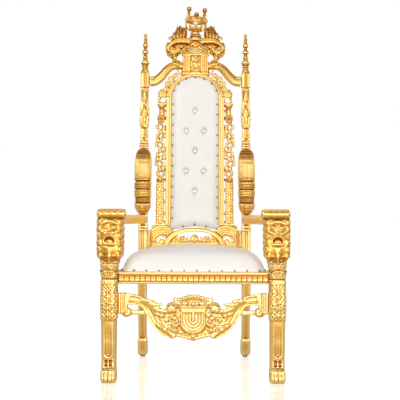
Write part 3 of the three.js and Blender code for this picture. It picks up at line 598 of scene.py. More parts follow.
def post_scrolls():
    """The fluted scroll on a post's front, rolled over three lips, with a bud under a deep hollow."""
    columns = 72
    post_face = 23.3
    heights = np.unique(np.concatenate([np.arange(723, 1060, 1.8), [p for p, _ in SCROLL_DEPTHS]]))
    z, u = np.meshgrid(heights, np.linspace(-1, 1, columns + 1), indexing="ij")
    depth, half = eased(z, SCROLL_DEPTHS), eased(z, SCROLL_WIDTHS)
    upper = np.clip((z - 896) / 12, 0, 1)
    bud = np.clip((772 - z) / 8, 0, 1)
    rolls = np.clip(1 - upper - np.clip((782 - z) / 6, 0, 1), 0, 1)
    flutes = -upper * (2.2 + 1.2 * np.clip((z - 995) / 40, 0, 1)) * (1 - np.abs(np.sin(6.5 * np.pi * (u + 1))) ** 0.6)
    folds = 0.35 * rolls * np.cos(9 * np.pi * u + z / 6)
    tongue = bud * (3.5 * np.exp(-(u / 0.22) ** 2) - 4.5 * np.exp(-((np.abs(u) - 0.42) / 0.09) ** 2))
    wavy = 1.6 * np.cos(8 * np.pi * u) * np.exp(-((z - 775) / 4) ** 2)
    out = depth * (1 - 0.36 * np.abs(u) ** 2.8) + flutes + folds + tongue + wavy
    sag = 2.2 * np.cos(5 * np.pi * u) * (np.exp(-((z - 892) / 7) ** 2) + np.exp(-((z - 850) / 7) ** 2))
    front = np.stack([half * u, -post_face - out, z + sag * 0.7], 2)
    rear = np.stack([half * u * 0.98, -post_face + 0 * u, z], 2)[:, ::-1]
    points, faces = loft(np.concatenate([front, rear[:, ::12]], 1))
    height = points[:, 2]
    # painted shade in lines between the upper flutes, over the dome's top and in the bands at 797 and 868 mm; painted
    # highlight round 960 mm and on the lip at 774 mm
    lines = np.cos(40 * points[:, 0] / 43) ** 2 * (height > 900) * (points[:, 1] < -post_face - 4)
    brown = 0.3 * lines + 0.75 * ridge(height - 1036, 22) + 0.7 * ridge(height - 797, 16) + 0.35 * ridge(height - 868, 16)
    brown = brown - 0.35 * ridge(height - 960, 45) - 0.3 * ridge(height - 774, 6)
    pair("post_scroll", "post_scroll", leaned(points) + [POST_X, 0, 0], faces, GOLD, "gold", brown)


# ---------------------------------------------------------------- frame round the pad
FRAME_PROFILE = [(-1, 6), (-0.9, 13), (-0.8, 12), (-0.74, 5), (-0.66, 12.5), (-0.5, 16), (-0.3, 15), (-0.16, 12),
                 (-0.06, 4.5), (0.04, 12.5), (0.2, 14.5), (0.36, 12), (0.44, 4.5), (0.56, 13), (0.74, 15.5), (0.9, 12), (1, 4)]
def moulding(points, half, count=60):
    """Bead, hollow and bead across; the first edge of the profile is beside the pad."""
    return ribbon(points, half, lambda u, t: eased(u, FRAME_PROFILE) + 0 * t, 12, count=count, columns=36)


PANEL_X = 177                   # middle of the openwork beside the pad
CROSSINGS = [(180, 1198), (172, 1152), (183, 1106), (172, 1058), (184, 1010), (173, 960), (178, 912)]
def strand(side):
    """One of the two strands that cross down the openwork and leave a hole in every loop."""
    line = [CROSSINGS[0]]
    for k, ((x0, z0), (x1, z1)) in enumerate(zip(CROSSINGS, CROSSINGS[1:])):
        line += [((x0 + x1) / 2 + side * (15 + 3 * side * (-1) ** k), (z0 + z1) / 2), (x1, z1)]
    return line


def panel_plate(x, z):
    """Ground of the openwork: arched head with its hole, two crossing strands and the long lower stem."""
    head = (np.abs(x - 169) < 23) & (z > 1291) & (z < 1352) | ellipse(x, z, (169, 1352), (23, 24))
    hole = ellipse(x, z, (167, 1316), (14, 17)) & (z > 1304)
    strands = near(x, z, strand(-1), 5) | near(x, z, strand(1), 5)
    knots = np.any([ellipse(x, z, place, (16, 8)) for place in CROSSINGS[1:-1]], 0)
    lobes = 18.5 + 1.5 * np.abs(np.cos(np.pi * (z - 853) / 24)) + 5 * np.clip((700 - z) / 28, 0, 1)
    stem_part = (np.abs(x - PANEL_X) < lobes) & (z > 669) & (z < 900)
    return head & ~hole | strands | knots | stem_part


def crossing_leaves(x, z, hand):
    """Leaves on a crossing of the strands: a curl on one side, lobed leaves on the other."""
    parts = volute([x - hand * 9, -7, z + 3], 8.5, 1.1, 90, hand, 5, 9, 5)
    for angle, length in ((55, 24), (95, 20), (140, 22), (-62, 21), (-125, 21)):
        a = math.radians(angle)
        tip = [x + hand * length * math.sin(a), -8, z + length * math.cos(a)]
        parts.append(leaf([x, -6, z], tip, 15, 7, 8, 3, 6, blunt=0.08))
    return parts


def loop_leaves(side):
    """Small leaves that lean off the outer edge of a strand."""
    line = strand(side)[1::2]
    return [leaf([x, -5, z - 4 * tilt], [x + side * 9, -7, z + 12 * tilt], 12, 6, 7, 2, 5, blunt=0.1)
            for x, z in line for tilt in (-1, 1)]


def garland():
    """Openwork beside the pad: arched shell, column, leaf knot (made brown by painted shade), curled leaves and a stem
    of hanging leaves.
    """
    x = PANEL_X
    parts = [pierced(panel_plate, (140, 669), (212, 1384), 6, 7, 2.0)]
    # arched shell over its hole
    parts += [leaf([169, -6, 1334], [169 + 25 * math.sin(a), -9, 1346 + 32 * math.cos(a)], 17, 6, 7, 2, 6, blunt=0.1)
              for a in np.radians([-78, -40, 0, 40, 78])]
    parts += [stem([[169 + 19 * math.cos(a), -6, 1318 + 20 * math.sin(a)] for a in np.linspace(0.1, 3.04, 9)], 4.5, 8)]
    parts += [block([147, -12, 1290], [196, 8, 1303]), stem([[147, -9, 1297], [196, -9, 1297]], 5, 8)]
    parts += [lathe((x - 4, 0), [(6, 1292), (19, 1290), (20.5, 1286), (19, 1282), (15, 1279), (13.5, 1266), (15, 1250),
                                 (17, 1240), (10, 1233)], 28)]
    parts += [leaf([x - 4, -9, 1278], [x - 4, -16, 1240], 16, 3, 6, 3, 6)]
    # leaf knot under the column
    parts += spray([x - 2, -5, 1222], [(-112, 24), (-66, 24), (-25, 20), (25, 20), (66, 24), (112, 24), (150, 30), (-150, 30),
                                       (180, 34)], 18, 8, 9, 2, 7)
    for side in (-1, 1):
        parts += [stem([[a, -4, b] for a, b in strand(side)], 4.5, 9, count=110), *loop_leaves(side)]
    for a, b in CROSSINGS[1:-1]:
        parts += crossing_leaves(a, b, 1 if a < x else -1)
    # knot and the long stem of hanging leaves
    parts += [ball([x + 1, -6, 906], [18, 12, 15]), block([x - 19, -11, 893], [x + 20, 8, 900])]
    parts += spray([x + 1, -8, 914], [(-120, 20), (120, 20), (180, 24), (-60, 16), (60, 16)], 15, 7, 8, 2, 6)
    for k, height in enumerate(np.arange(894, 690, -15.0)):
        for side in (-1, 1):
            tip = [x + side * (19 + 2 * (k % 2)), -7, height - 20]
            parts.append(leaf([x + side * 2, -5, height], tip, 15, 5, 6, 2, 6, blunt=0.1))
        parts.append(leaf([x, -7, height - 3], [x + 3 * (-1) ** k, -10, height - 24], 13, 5, 6, 2, 6, blunt=0.08))
    parts += [block([x - 26, -11, 669], [x + 24, 9, 682])]
    heights = (1352, 1298, 1262, 1222, 1176, 1128, 1060, 1012, 950, 904, 850, 790, 730)
    parts += [stem([[147, 0, z], [172, -1, z - 4]], 6, 6) for z in heights]
    return parts


def side_panels():
    edge = PAD_HIGH[0] + 0.3
    half = 15
    stile = moulding([[edge + half, 0, 1334], [edge + half, 0, 1000], [edge + half, 0, 669]], lambda t: half + 0 * t, 40)
    points, faces = melted([stile, *garland()], 2.5)
    points = smoothed(points, faces, 1)
    x, z = points[:, 0], points[:, 2]
    # painted light over the whole openwork, a faint wave of painted light and shade on the hanging stem, and painted
    # shade on the leaf knots and round 1272 and 1118 mm
    brown = -0.1 + 0.15 * np.sin(z / 9 + x / 5) * (z < 890) * (x > 153) + (x > 151) * (ridge(z - 1214, 20) + ridge(z - 907, 14) + 0.7 * ridge(z - 1272, 16) + 0.4 * ridge(z - 1118, 14))
    panel = leaned(points)
    piece("side_panel_left_carving", panel, faces, GOLD, ["back_side_panel_left"], "gold", darker=0.6 * brown)
    piece("side_panel_right_carving", panel * [-1, 1, 1], faces[:, ::-1], GOLD, ["back_side_panel_right"], "gold",
          darker=0.6 * brown)


def arch_frame():
    """The arch over the pad, and a leaf spray running down each corner under the crest's arms."""
    half, rise, spring = PAD_HIGH[0] + 0.6, 107.6, 1334
    angles = np.linspace(np.pi, 0, 25)

    def width(t):
        return 15 - 6 * np.sin(np.pi * t)

    line = []
    for a in angles:
        w = width(1 - a / np.pi)
        line.append([(half + w) * math.cos(a), 0, spring + (rise + w) * math.sin(a)])
    arch = ribbon(line, width, lambda u, t: eased(-u, FRAME_PROFILE), 12, count=110, columns=40)
    corner = [stem([[152, -2, 1364], [144, -3, 1396], [120, -4, 1428], [90, -3, 1448]], lambda t: 8 - 2 * t, 9)]
    corner += spray([150, -4, 1366], [(10, 30), (62, 22), (-30, 24)], 17, 7, 8, 3, 7)
    corner += spray([143, -4, 1392], [(-12, 32), (30, 30), (78, 16), (-60, 18)], 18, 7, 8, 3, 7)
    corner += spray([127, -5, 1420], [(-24, 30), (20, 28), (66, 20), (-80, 18)], 18, 7, 8, 3, 7)
    corner += spray([106, -5, 1440], [(-58, 28), (-16, 24), (30, 18)], 17, 7, 8, 3, 6)
    corner += [block([PAD_HIGH[0] + 3, -8, 1334.3], [149, 8, 1362])]
    points, faces = melted([arch, *mirrored(corner)], 2.5)
    points = smoothed(points, faces, 1)
    piece("arch_carving", leaned(points), faces, GOLD, ["back_arch"], "gold")


def lower_rail():
    """Arched band over pierced leafwork, with a fan of concentric arcs at each end."""
    def grooves(u, t):
        return 8 + 3.0 * np.abs(np.sin(1.5 * np.pi * (u + 1))) ** 0.6 - 2 * u**2

    def fan(u, t):
        return 6 + 3.4 * np.abs(np.sin(2 * np.pi * (u + 1))) ** 0.6 + 1.5 * u

    arch = ribbon([[-150, -5, 560], [-124, -5, 606], [-70, -6, 640], [0, -6, 648], [70, -6, 640], [124, -5, 606],
                   [150, -5, 560]], lambda t: 11 + 2 * np.cos(2 * np.pi * t), grooves, 12, count=80, columns=24)
    side = [ribbon([[164 + 62 * math.cos(a), -1, 586 + 60 * math.sin(a)] for a in np.radians([205, 160, 120, 90, 55, 20, -25])],
                   lambda t: 23 + 0 * t, fan, 10, count=70, columns=36)]
    side += [ribbon([[164 + 31 * math.cos(a), -2, 586 + 30 * math.sin(a)] for a in np.radians([200, 150, 90, 30, -20])],
                    lambda t: 5 + 0 * t, lambda u, t: 8 - 2 * u**2, 9, count=40)]
    side += [block([213, -10, 560], [238, 12, 640]), block([121, -8, 650], [216, 9, 669.4])]
    side += [stem([[x, -10, 562], [x, -10, 640]], 3.4, 5) for x in (220, 231)]
    side += spray([164, -4, 582], [(-60, 20), (-20, 24), (20, 24), (60, 20)], 13, 5, 6, 2, 5)
    center = spray([0, -5, 592], [(a, 36 - abs(a) * 0.12) for a in range(-80, 81, 20)], 13, 6, 7, 2, 5)
    center += [ball([0, -8, 592], [9, 8, 9])]
    curls = volute([66, -4, 604], 15, 1.2, 200, 1, 4.2, 7, 4) + volute([96, -4, 590], 13, 1.2, 60, -1, 4, 7, 4)
    curls += spray([44, -4, 588], [(-30, 30), (20, 34), (62, 26)], 13, 5, 6, 2, 5)
    curls += spray([84, -4, 584], [(-20, 26), (40, 24)], 12, 5, 6, 2, 5)
    curls += [stem([[20, -3, 592], [44, -4, 584], [84, -4, 586], [118, -3, 580]], 4, 6)]
    base = block([-238, -11, 556], [238, 13, 584])
    points, faces = melted([base, arch, *mirrored(side), *center, *mirrored(curls)], 2.5)
    points = smoothed(points, faces, 1)
    piece("lower_rail_carving", leaned(points), faces, GOLD, ["back_lower_rail"], "gold")


# ---------------------------------------------------------------- crest and crown
def cartouche():
    """The field in the middle: three upright ribs a side and a sunken panel with a generic medallion and swag."""
    def front(u, t):
        x, z = 67 * u, 1452 + 112 * t
        a = np.abs(x)
        ribs = 4.8 * np.abs(np.sin(np.pi * (a - 28) / 9.8)) ** 0.8 * (a > 28)
        panel = np.clip((27 - a) / 3, 0, 1) * np.clip((z - 1464) / 4, 0, 1)
        medallion = 7 * dome(np.hypot(x, (z - 1508) * 0.8), 15) + 2.5 * ridge(np.hypot(x, (z - 1508) * 0.8) - 20, 2.5)
        swag = 4.5 * ridge(z - 1474 - x * x / 55, 4) * (a < 27)
        fan = 3.5 * np.abs(np.cos(4 * np.arctan2(x, z - 1528))) * dome(np.hypot(x, z - 1540), 16)
        return 18 + ribs + panel * (-3 + medallion + swag + fan) + 3.5 * dome(z - 1457, 6)

    return ribbon([[0, 0, 1452], [0, 0, 1564]], lambda t: 67 + 0 * t, front, 13, count=90, columns=96)


def pediment():
    """The low gable over the field, with curved slots round its peak."""
    def half(t):
        return 75 - 46 * np.clip((t - 0.42) / 0.58, 0, 1)

    def front(u, t):
        x, z = u * half(t), 1553 + 55 * t
        a, reach = np.abs(x), np.hypot(x, z - 1614)
        slots = -7 * (0.5 + 0.5 * np.cos(2 * np.pi * (reach - 20) / 11)) ** 1.5 * (reach > 12) * (reach < 62)
        rim = 4.5 * ridge((1 - np.abs(u)) * half(t), 5) + 4.0 * ridge(1 - t, 0.08)
        return 18 + slots * np.clip((half(t) - a - 5) / 3, 0, 1) + rim

    return ribbon([[0, -6, 1553], [0, -6, 1608]], half, front, 12, count=80, columns=120)


HORN = [[0, -12, 1622], [38, -14, 1630], [80, -15, 1631], [112, -15, 1624], [134, -15, 1607], [141, -15, 1590],
        [135, -16, 1578], [124, -17, 1578], [119, -18, 1588], [126, -19, 1596]]
HORN_LOBES = [(149, 1624), (157, 1606), (158, 1586), (154, 1566), (145, 1549), (130, 1540), (114, 1538), (101, 1546)]
PLUMES = [(48, 58, 1718), (66, 64, 1708), (82, 70, 1719), (97, 77, 1712), (104, 83, 1692), (118, 88, 1678), (128, 96, 1659),
          (143, 106, 1650)]
def crest_plate(x, z):
    """Ground of the leaf mass under each horn, with the small gap beside the knob."""
    x = np.abs(x)
    mass = ellipse(x, z, (114, 1588), (40, 42)) | ellipse(x, z, (78, 1598), (44, 34)) | ellipse(x, z, (110, 1548), (16, 20))
    plumes = (z > 1630) & (z < 1692 - 1.1 * np.clip(x - 88, 0, 99)) & (np.abs(x - 88) < 36)
    return (mass | plumes) & ~ellipse(x, z, (86, 1539), (10, 8))


def crest_side():
    parts = [stem([[236, 0, 1416], [206, -1, 1420], [174, -3, 1446], [148, -5, 1477], [118, -6, 1497], [64, -6, 1499]],
                  lambda t: 27 - 9 * t, lambda t: 21 - 3 * t, count=60, sides=24)]
    # rolled knob where the arm meets the field
    parts += [ball([98, -10, 1508], [23, 15, 14])]
    parts += [stem([[76, -16, 1498], [94, -23, 1502], [114, -21, 1508], [117, -17, 1520], [104, -15, 1527], [88, -15, 1524],
                    [80, -15, 1516]], lambda t: 6.5 - 2 * t, 7, count=60)]
    # tapering horn that curls round at its end, with a bead of light along its top
    parts += [stem(HORN, lambda t: 20 - 14 * t, lambda t: 18 - 10 * t, count=100, sides=20), ball([127, -22, 1589], [6, 6, 6])]
    # plumes over the horn
    parts += [leaf([root, -2, 1634], [x, -9, z], 22, 9, 9, 2, 6, blunt=0.1) for x, root, z in PLUMES]
    parts += [leaf([64 + 13 * k, -11, 1634], [58 + 20 * k, -16, 1688 - 8 * k], 17, 8, 7, 2, 5, blunt=0.1) for k in range(4)]
    # lobes outside the curl and leaves inside it
    for x, z in HORN_LOBES:
        parts.append(leaf([122 + (x - 122) * 0.25, -2, 1588 + (z - 1588) * 0.25], [x, -7, z], 25, 8, 8, 3, 7, blunt=0.1))
    for x, z in ((132, 1556), (116, 1550), (101, 1556), (88, 1566), (76, 1578)):
        parts.append(leaf([104, -12, 1596], [x, -18, z], 19, 9, 8, 3, 6, blunt=0.06))
    for x, z in ((60, 1606), (82, 1610), (104, 1606)):
        parts.append(leaf([92, -12, 1588], [x, -16, z], 15, 7, 7, 2, 6, blunt=0.06))
    parts += [leaf([108, -10, 1560], [108, -14, 1524], 20, 6, 8, 2, 6, blunt=0.08)]
    # bright edge leaf along the gable, and a small scroll at the field's foot
    parts += [leaf([86, -14, 1566], [38, -19, 1604], 13, 6, 8, 3, 6)]
    parts += [stem([[70, -8, 1497], [67, -9, 1474], [73, -10, 1460], [85, -10, 1459], [91, -9, 1474], [92, -8, 1494]], 5, 8)]
    return parts


def crest():
    parts = mirrored(crest_side()) + [cartouche(), pediment(), pierced(crest_plate, (-160, 1500), (160, 1700), 4, 10)]
    # crossed ribbon where the horns meet, and the crown's seat
    parts += [block([-33, -16, 1604], [33, 16, 1650])]
    for tilt in (-1, 1):
        parts += [stem([[-30 * tilt, -21, 1634], [0, -26, 1620], [30 * tilt, -21, 1606]], 5, 6)]
    parts += [ball([0, -27, 1620], [7, 7, 7])]
    parts += [lathe((0, 0), [(40, 1632), (41, 1640), (37, 1647), (28, 1651), (27, 1656), (33, 1659), (33, 1661.5)], 36)]
    parts += [stem([[-74, -4, 1449], [-30, -5, 1456], [0, -5, 1458], [30, -5, 1456], [74, -4, 1449]], 5, 16)]
    points, faces = melted(parts, 2.7)
    points = smoothed(points, faces, 1)
    points[:, 2] = np.minimum(points[:, 2], 1661.9 + 100 * (np.abs(points[:, 0]) > 45))
    # painted shade on the crossed ribbon, over the top plumes, on the knob's top and over the crest outside its middle,
    # growing from 1440 mm up
    x, z = np.abs(points[:, 0]), points[:, 2]
    brown = (0.7 * np.clip((34 - x) / 6, 0, 1) * ridge(z - 1620, 14) + 0.4 * (z > 1652) * (x > 45)
             + 0.5 * ridge(z - 1521, 9) * ridge(x - 98, 18) + 0.3 * np.clip((z - 1440) / 40, 0, 1) * (x > 40))
    piece("crest_carving", leaned(points), faces, GOLD, ["crest"], "gold", darker=brown)


CROWN_BOWL = [(0, 1664.4), (19, 1664.6), (26, 1667.5), (27.5, 1673), (25, 1678), (18, 1680.5), (20, 1684), (29, 1690),
              (34, 1697), (33, 1702), (26, 1705), (2, 1707)]
CROWN_POINTS = [(-41, -14, 1797.5), (41, -14, 1796), (0, 42, 1787)]
def circle(radius, z, count=16):
    turn = np.linspace(0, 2 * np.pi, count + 1)
    return np.stack([radius * np.cos(turn), radius * np.sin(turn), 0 * turn + z], 1)


def crown():
    """The open crown: ringed foot, small bowl, four ribs with holes seen right through, a band and ball-topped points."""
    up = np.array([0, 0, 1.0])
    parts = [lathe((0, 0), CROWN_BOWL, 40)]
    parts += [stem(circle(53, 1743), 3.4, 10, up, 80), stem(circle(54.5, 1735), 3.6, 3.2, up, 80),
              stem(circle(54.5, 1752), 3.6, 3.2, up, 80)]
    for k in range(4):
        a = math.radians(90 * k)
        out = np.array([math.cos(a), math.sin(a), 0])
        parts += [stem([out * 26 + [0, 0, 1686], out * 41 + [0, 0, 1696], out * 50 + [0, 0, 1712], out * 53 + [0, 0, 1738]],
                       5, 4, out)]
        parts += [ball(out * 53 + [0, 0, 1722], [7, 7, 7]), ball(out * 57 + [0, 0, 1743], [5, 5, 5])]
        b = a + math.radians(45)
        side = np.array([math.cos(b), math.sin(b), 0])
        parts += [leaf(side * 28 + [0, 0, 1692], side * 46 + [0, 0, 1717], 19, 5, 5, 2, 4, facing=side, blunt=0.1),
                  ball(side * 57 + [0, 0, 1743], [4.5, 4.5, 4.5])]
    for turn in (-1, 1):
        parts += [leaf([0, turn * 52, 1708], [x, turn * 54, z], 13, 3, 5, 2, 4, facing=np.array([0, turn, 0.0]), blunt=0.1)
                  for x, z in ((-13, 1724), (0, 1734), (13, 1724))]
    for x, y, top in CROWN_POINTS:
        parts += [stem([[x, y, 1748], [x, y, top - 8]], lambda t: 8.5 - 2 * t, lambda t: 8.5 - 2 * t, sides=14),
                  lathe((x, y), [(7, top - 27), (10.5, top - 24), (7, top - 20)], 16), ball([x, y, top], [13.5, 13.5, 13])]
    parts += [stem([[0, 42, 1748], [0, 50, 1743]], 6, 6), ball([0, -47, 1757], [15, 10, 14])]
    points, faces = melted(parts, 2.1)
    points = smoothed(points, faces, 1)
    # painted shade round the balls of the two front points and the front ball, and along the band at 1743 mm
    dark = sum(dome(np.linalg.norm(points - [x, y, top - 10], axis=1), 36) for x, y, top in CROWN_POINTS[:2])
    dark = dark + 1.2 * dome(np.linalg.norm(points - [0, -47, 1757], axis=1), 19) + 0.4 * ridge(points[:, 2] - 1743, 8)
    foot = 1664
    tilt = math.radians(4)
    low = points - [0, 0, foot]
    turned = np.stack([low[:, 0] * math.cos(tilt) + low[:, 2] * math.sin(tilt) - 2, low[:, 1],
                       low[:, 2] * math.cos(tilt) - low[:, 0] * math.sin(tilt)], 1)
    place = [0, back_line(np.array(foot)) + 1, foot]
    piece("crown_carving", turned + place, faces, GOLD, ["crown"], "gold", darker=0.9 * dark)


# ---------------------------------------------------------------- seat rails, arms and apron
RAIL_PROFILE = [(422, 8), (424, 13), (427, 16.5), (430, 15.5), (433, 12), (450, 12), (456, 10), (460, 10.5), (463, 14.5),
                (467, 17.5), (471, 17), (474, 12)]
def rail(name, node, start, end, bow, facing, units):
    """A moulded rail from start to end with a band of small leaves along its face."""
    columns = units * 12
    heights = np.arange(422, 474.5, 1.3)
    z, t = np.meshgrid(heights, np.linspace(0, 1, columns + 1), indexing="ij")
    start, end = np.array(start, float), np.array(end, float)
    line = start + (end - start) * t[..., None] + facing * (bow * np.sin(np.pi * t))[..., None]
    u = (t * units) % 1 - 0.5
    band = np.clip((12 - np.abs(z - 445)) / 3, 0, 1)
    tile = 2.4 * np.clip((0.45 - np.abs(u)) / 0.07, 0, 1) - 0.8 * ridge(u, 0.05)
    beads = 2.6 * sum(dome(np.hypot((u - k) * 23, z - 451), 3.6) for k in (-0.28, 0, 0.28))
    out = eased(z, RAIL_PROFILE) + band * tile + beads
    front = line + facing * out[..., None]
    rear = line - facing * 16
    front[..., 2] = rear[..., 2] = z
    rings = np.concatenate([front, rear[[-1, len(heights) // 2, 0]]], 0).transpose(1, 0, 2)
    points, faces = loft(rings)
    return points, faces


def rails():
    low, high = box_of("front_rail")
    y = high[1] - 16
    points, faces = rail("front", "front_rail", [low[0], y, 0], [high[0], y, 0], 8, FRONT, 28)
    # painted light: the front rail a touch lighter all over
    piece("front_rail_carving", points, faces, GOLD, ["front_rail"], "gold", np.full(len(points), -0.05))
    low, high = box_of("side_rail_left")
    slope = unit(np.array([high[1] - low[1], high[0] - low[0] - 34.0, 0]))
    start = [high[0] - 18, low[1] + 2, 0]
    end = [low[0] + 18, high[1] - 2, 0]
    points, faces = rail("side", "side_rail_left", start, end, 0, slope, 22)
    pair("side_rail", "side_rail", points, faces, GOLD, "gold")
    low, high = box_of("back_rail")
    bar = rounded_bar(low, high, 3)
    piece("back_rail_board", *bar, GOLD, ["back_rail"], "gold")


def rounded_bar(low, high, edge):
    """A plain bar along X with rounded edges."""
    middle, half = (low + high) / 2, (high - low) / 2
    turn = np.linspace(0, 1, 48, endpoint=False)
    y, z, _, _ = rounded_square(turn, half[1], half[2], 9)
    ends = [(-1, 0.9), (-0.992, 1), (-0.3, 1), (0.3, 1), (0.992, 1), (1, 0.9)]
    rings = [np.stack([np.full(48, middle[0] + s * half[0]), middle[1] + y * k, middle[2] + z * k], 1) for s, k in ends]
    return loft(np.array(rings))


def arms():
    """Arm from the back of the lion's head to the post: rounded square with grooves along its sides and beads near its
    end.
    """
    low, high = box_of("arm_left")
    count = 90
    t = np.linspace(0, 1, count)
    ease = 0.5 - 0.5 * np.cos(np.pi * t)
    line = np.stack([HEAD_X - 2 + ease * (POST_X - HEAD_X + 2), low[1] + t * (high[1] - low[1]), np.full(count, 700.0)], 1)
    along = unit(np.gradient(line, axis=0))
    across = np.stack([along[:, 1], -along[:, 0], 0 * t], 1)
    turn = np.linspace(0, 1, 48, endpoint=False)
    u, v, c, s = rounded_square(turn[None], 22, 21.8, 4.5)
    swell = (1.08 - 0.1 * t)[:, None] * (1 - 0.06 * np.sin(np.pi * t))[:, None]
    beads = 1.5 * sum(dome(t - at, 0.012) for at in (0.86, 0.89, 0.96))[:, None]
    groove = -1.1 * np.exp(-((np.abs(v) - 12) / 1.6) ** 2) * (np.abs(c) > 0.6)
    x = u * swell + c * (beads + groove)
    up = np.clip(v + s * (beads + 0 * c), -21.9, 21.9)
    rings = line[:, None] + across[:, None] * x[..., None] + np.array([0, 0, 1.0]) * (up + 0 * x)[..., None]
    points, faces = loft(rings)
    pair("arm", "arm", points, faces, GOLD, "gold")


def shield():
    """The shield under a plate with a dotted edge, with ridges that follow its foot."""
    def half(t):
        return np.maximum(52 * np.sqrt(np.clip(1 - np.clip((0.5 - t) / 0.5, 0, 1) ** 2.4, 0, 1)), 3)

    def front(u, t):
        x, z = u * half(t), 212 + 102 * t
        reach = np.hypot(x, np.clip(266 - z, 0, 99) * 0.96)
        ridges = 2.0 * np.cos(2 * np.pi * (reach - 2) / 12.5)
        dots = 2.2 * dome(np.hypot(((x + 4) % 8) - 4, z - 304), 3.2)
        heart = 4 * dome(np.hypot(x * 1.3, (z - 272) * 0.4), 11)
        edge = 3 * ridge(reach - 49, 3)
        return 14 + np.where(z > 298, dots + 1.5, ridges + heart + edge)

    return ribbon([[0, 0, 212], [0, 0, 314]], half, front, 12, count=80, columns=60)


def apron_plate(x, z):
    """Where the apron's ground is solid: the bands, the leafy corner, the foot and the coronet, less the holes."""
    x = np.abs(x)
    band = near(x, z, [(300, 352), (250, 352), (212, 337), (188, 297), (164, 254), (132, 220), (90, 201)],
                lambda t: 22 - 7 * np.clip(t / 0.45, 0, 1))
    strap = near(x, z, [(286, 300), (232, 297), (200, 296)], 9)
    corner = ellipse(x, z, (93, 320), (25, 23)) | ellipse(x, z, (108, 270), (52, 42)) | near(x, z, [(190, 306), (120, 300)], 11) | ellipse(x, z, (64, 236), (32, 30))
    foot = near(x, z, [(84, 204), (50, 203), (0, 196)], 9)
    coronet_plate = (z > 318) & (z < 374 - 0.0042 * x**2) & (x < 57 + 0.9 * (z - 324))
    holes = [(158, 272, 4.5, 19), (125, 270, 8, 7.5), (101, 282, 5.5, 5), (110, 263, 5.5, 4.5), (66, 283, 6, 6.5), (77, 242, 8.5, 8), (106, 238, 13, 3.6), (38, 217, 10, 5), (17, 208, 5, 4.5), (72, 262, 4.5, 6),
             (54, 346, 6.5, 5.5), (34, 338, 7.5, 7), (0, 336, 6.5, 6), (20, 353, 5, 4.5), (75, 351, 4, 3.5)]
    pierced_at = np.any([ellipse(x, z, hole[:2], hole[2:]) for hole in holes], 0)
    return (band | strap | corner | foot | coronet_plate | (x < 64) & (z > 232) & (z < 324)) & ~pierced_at


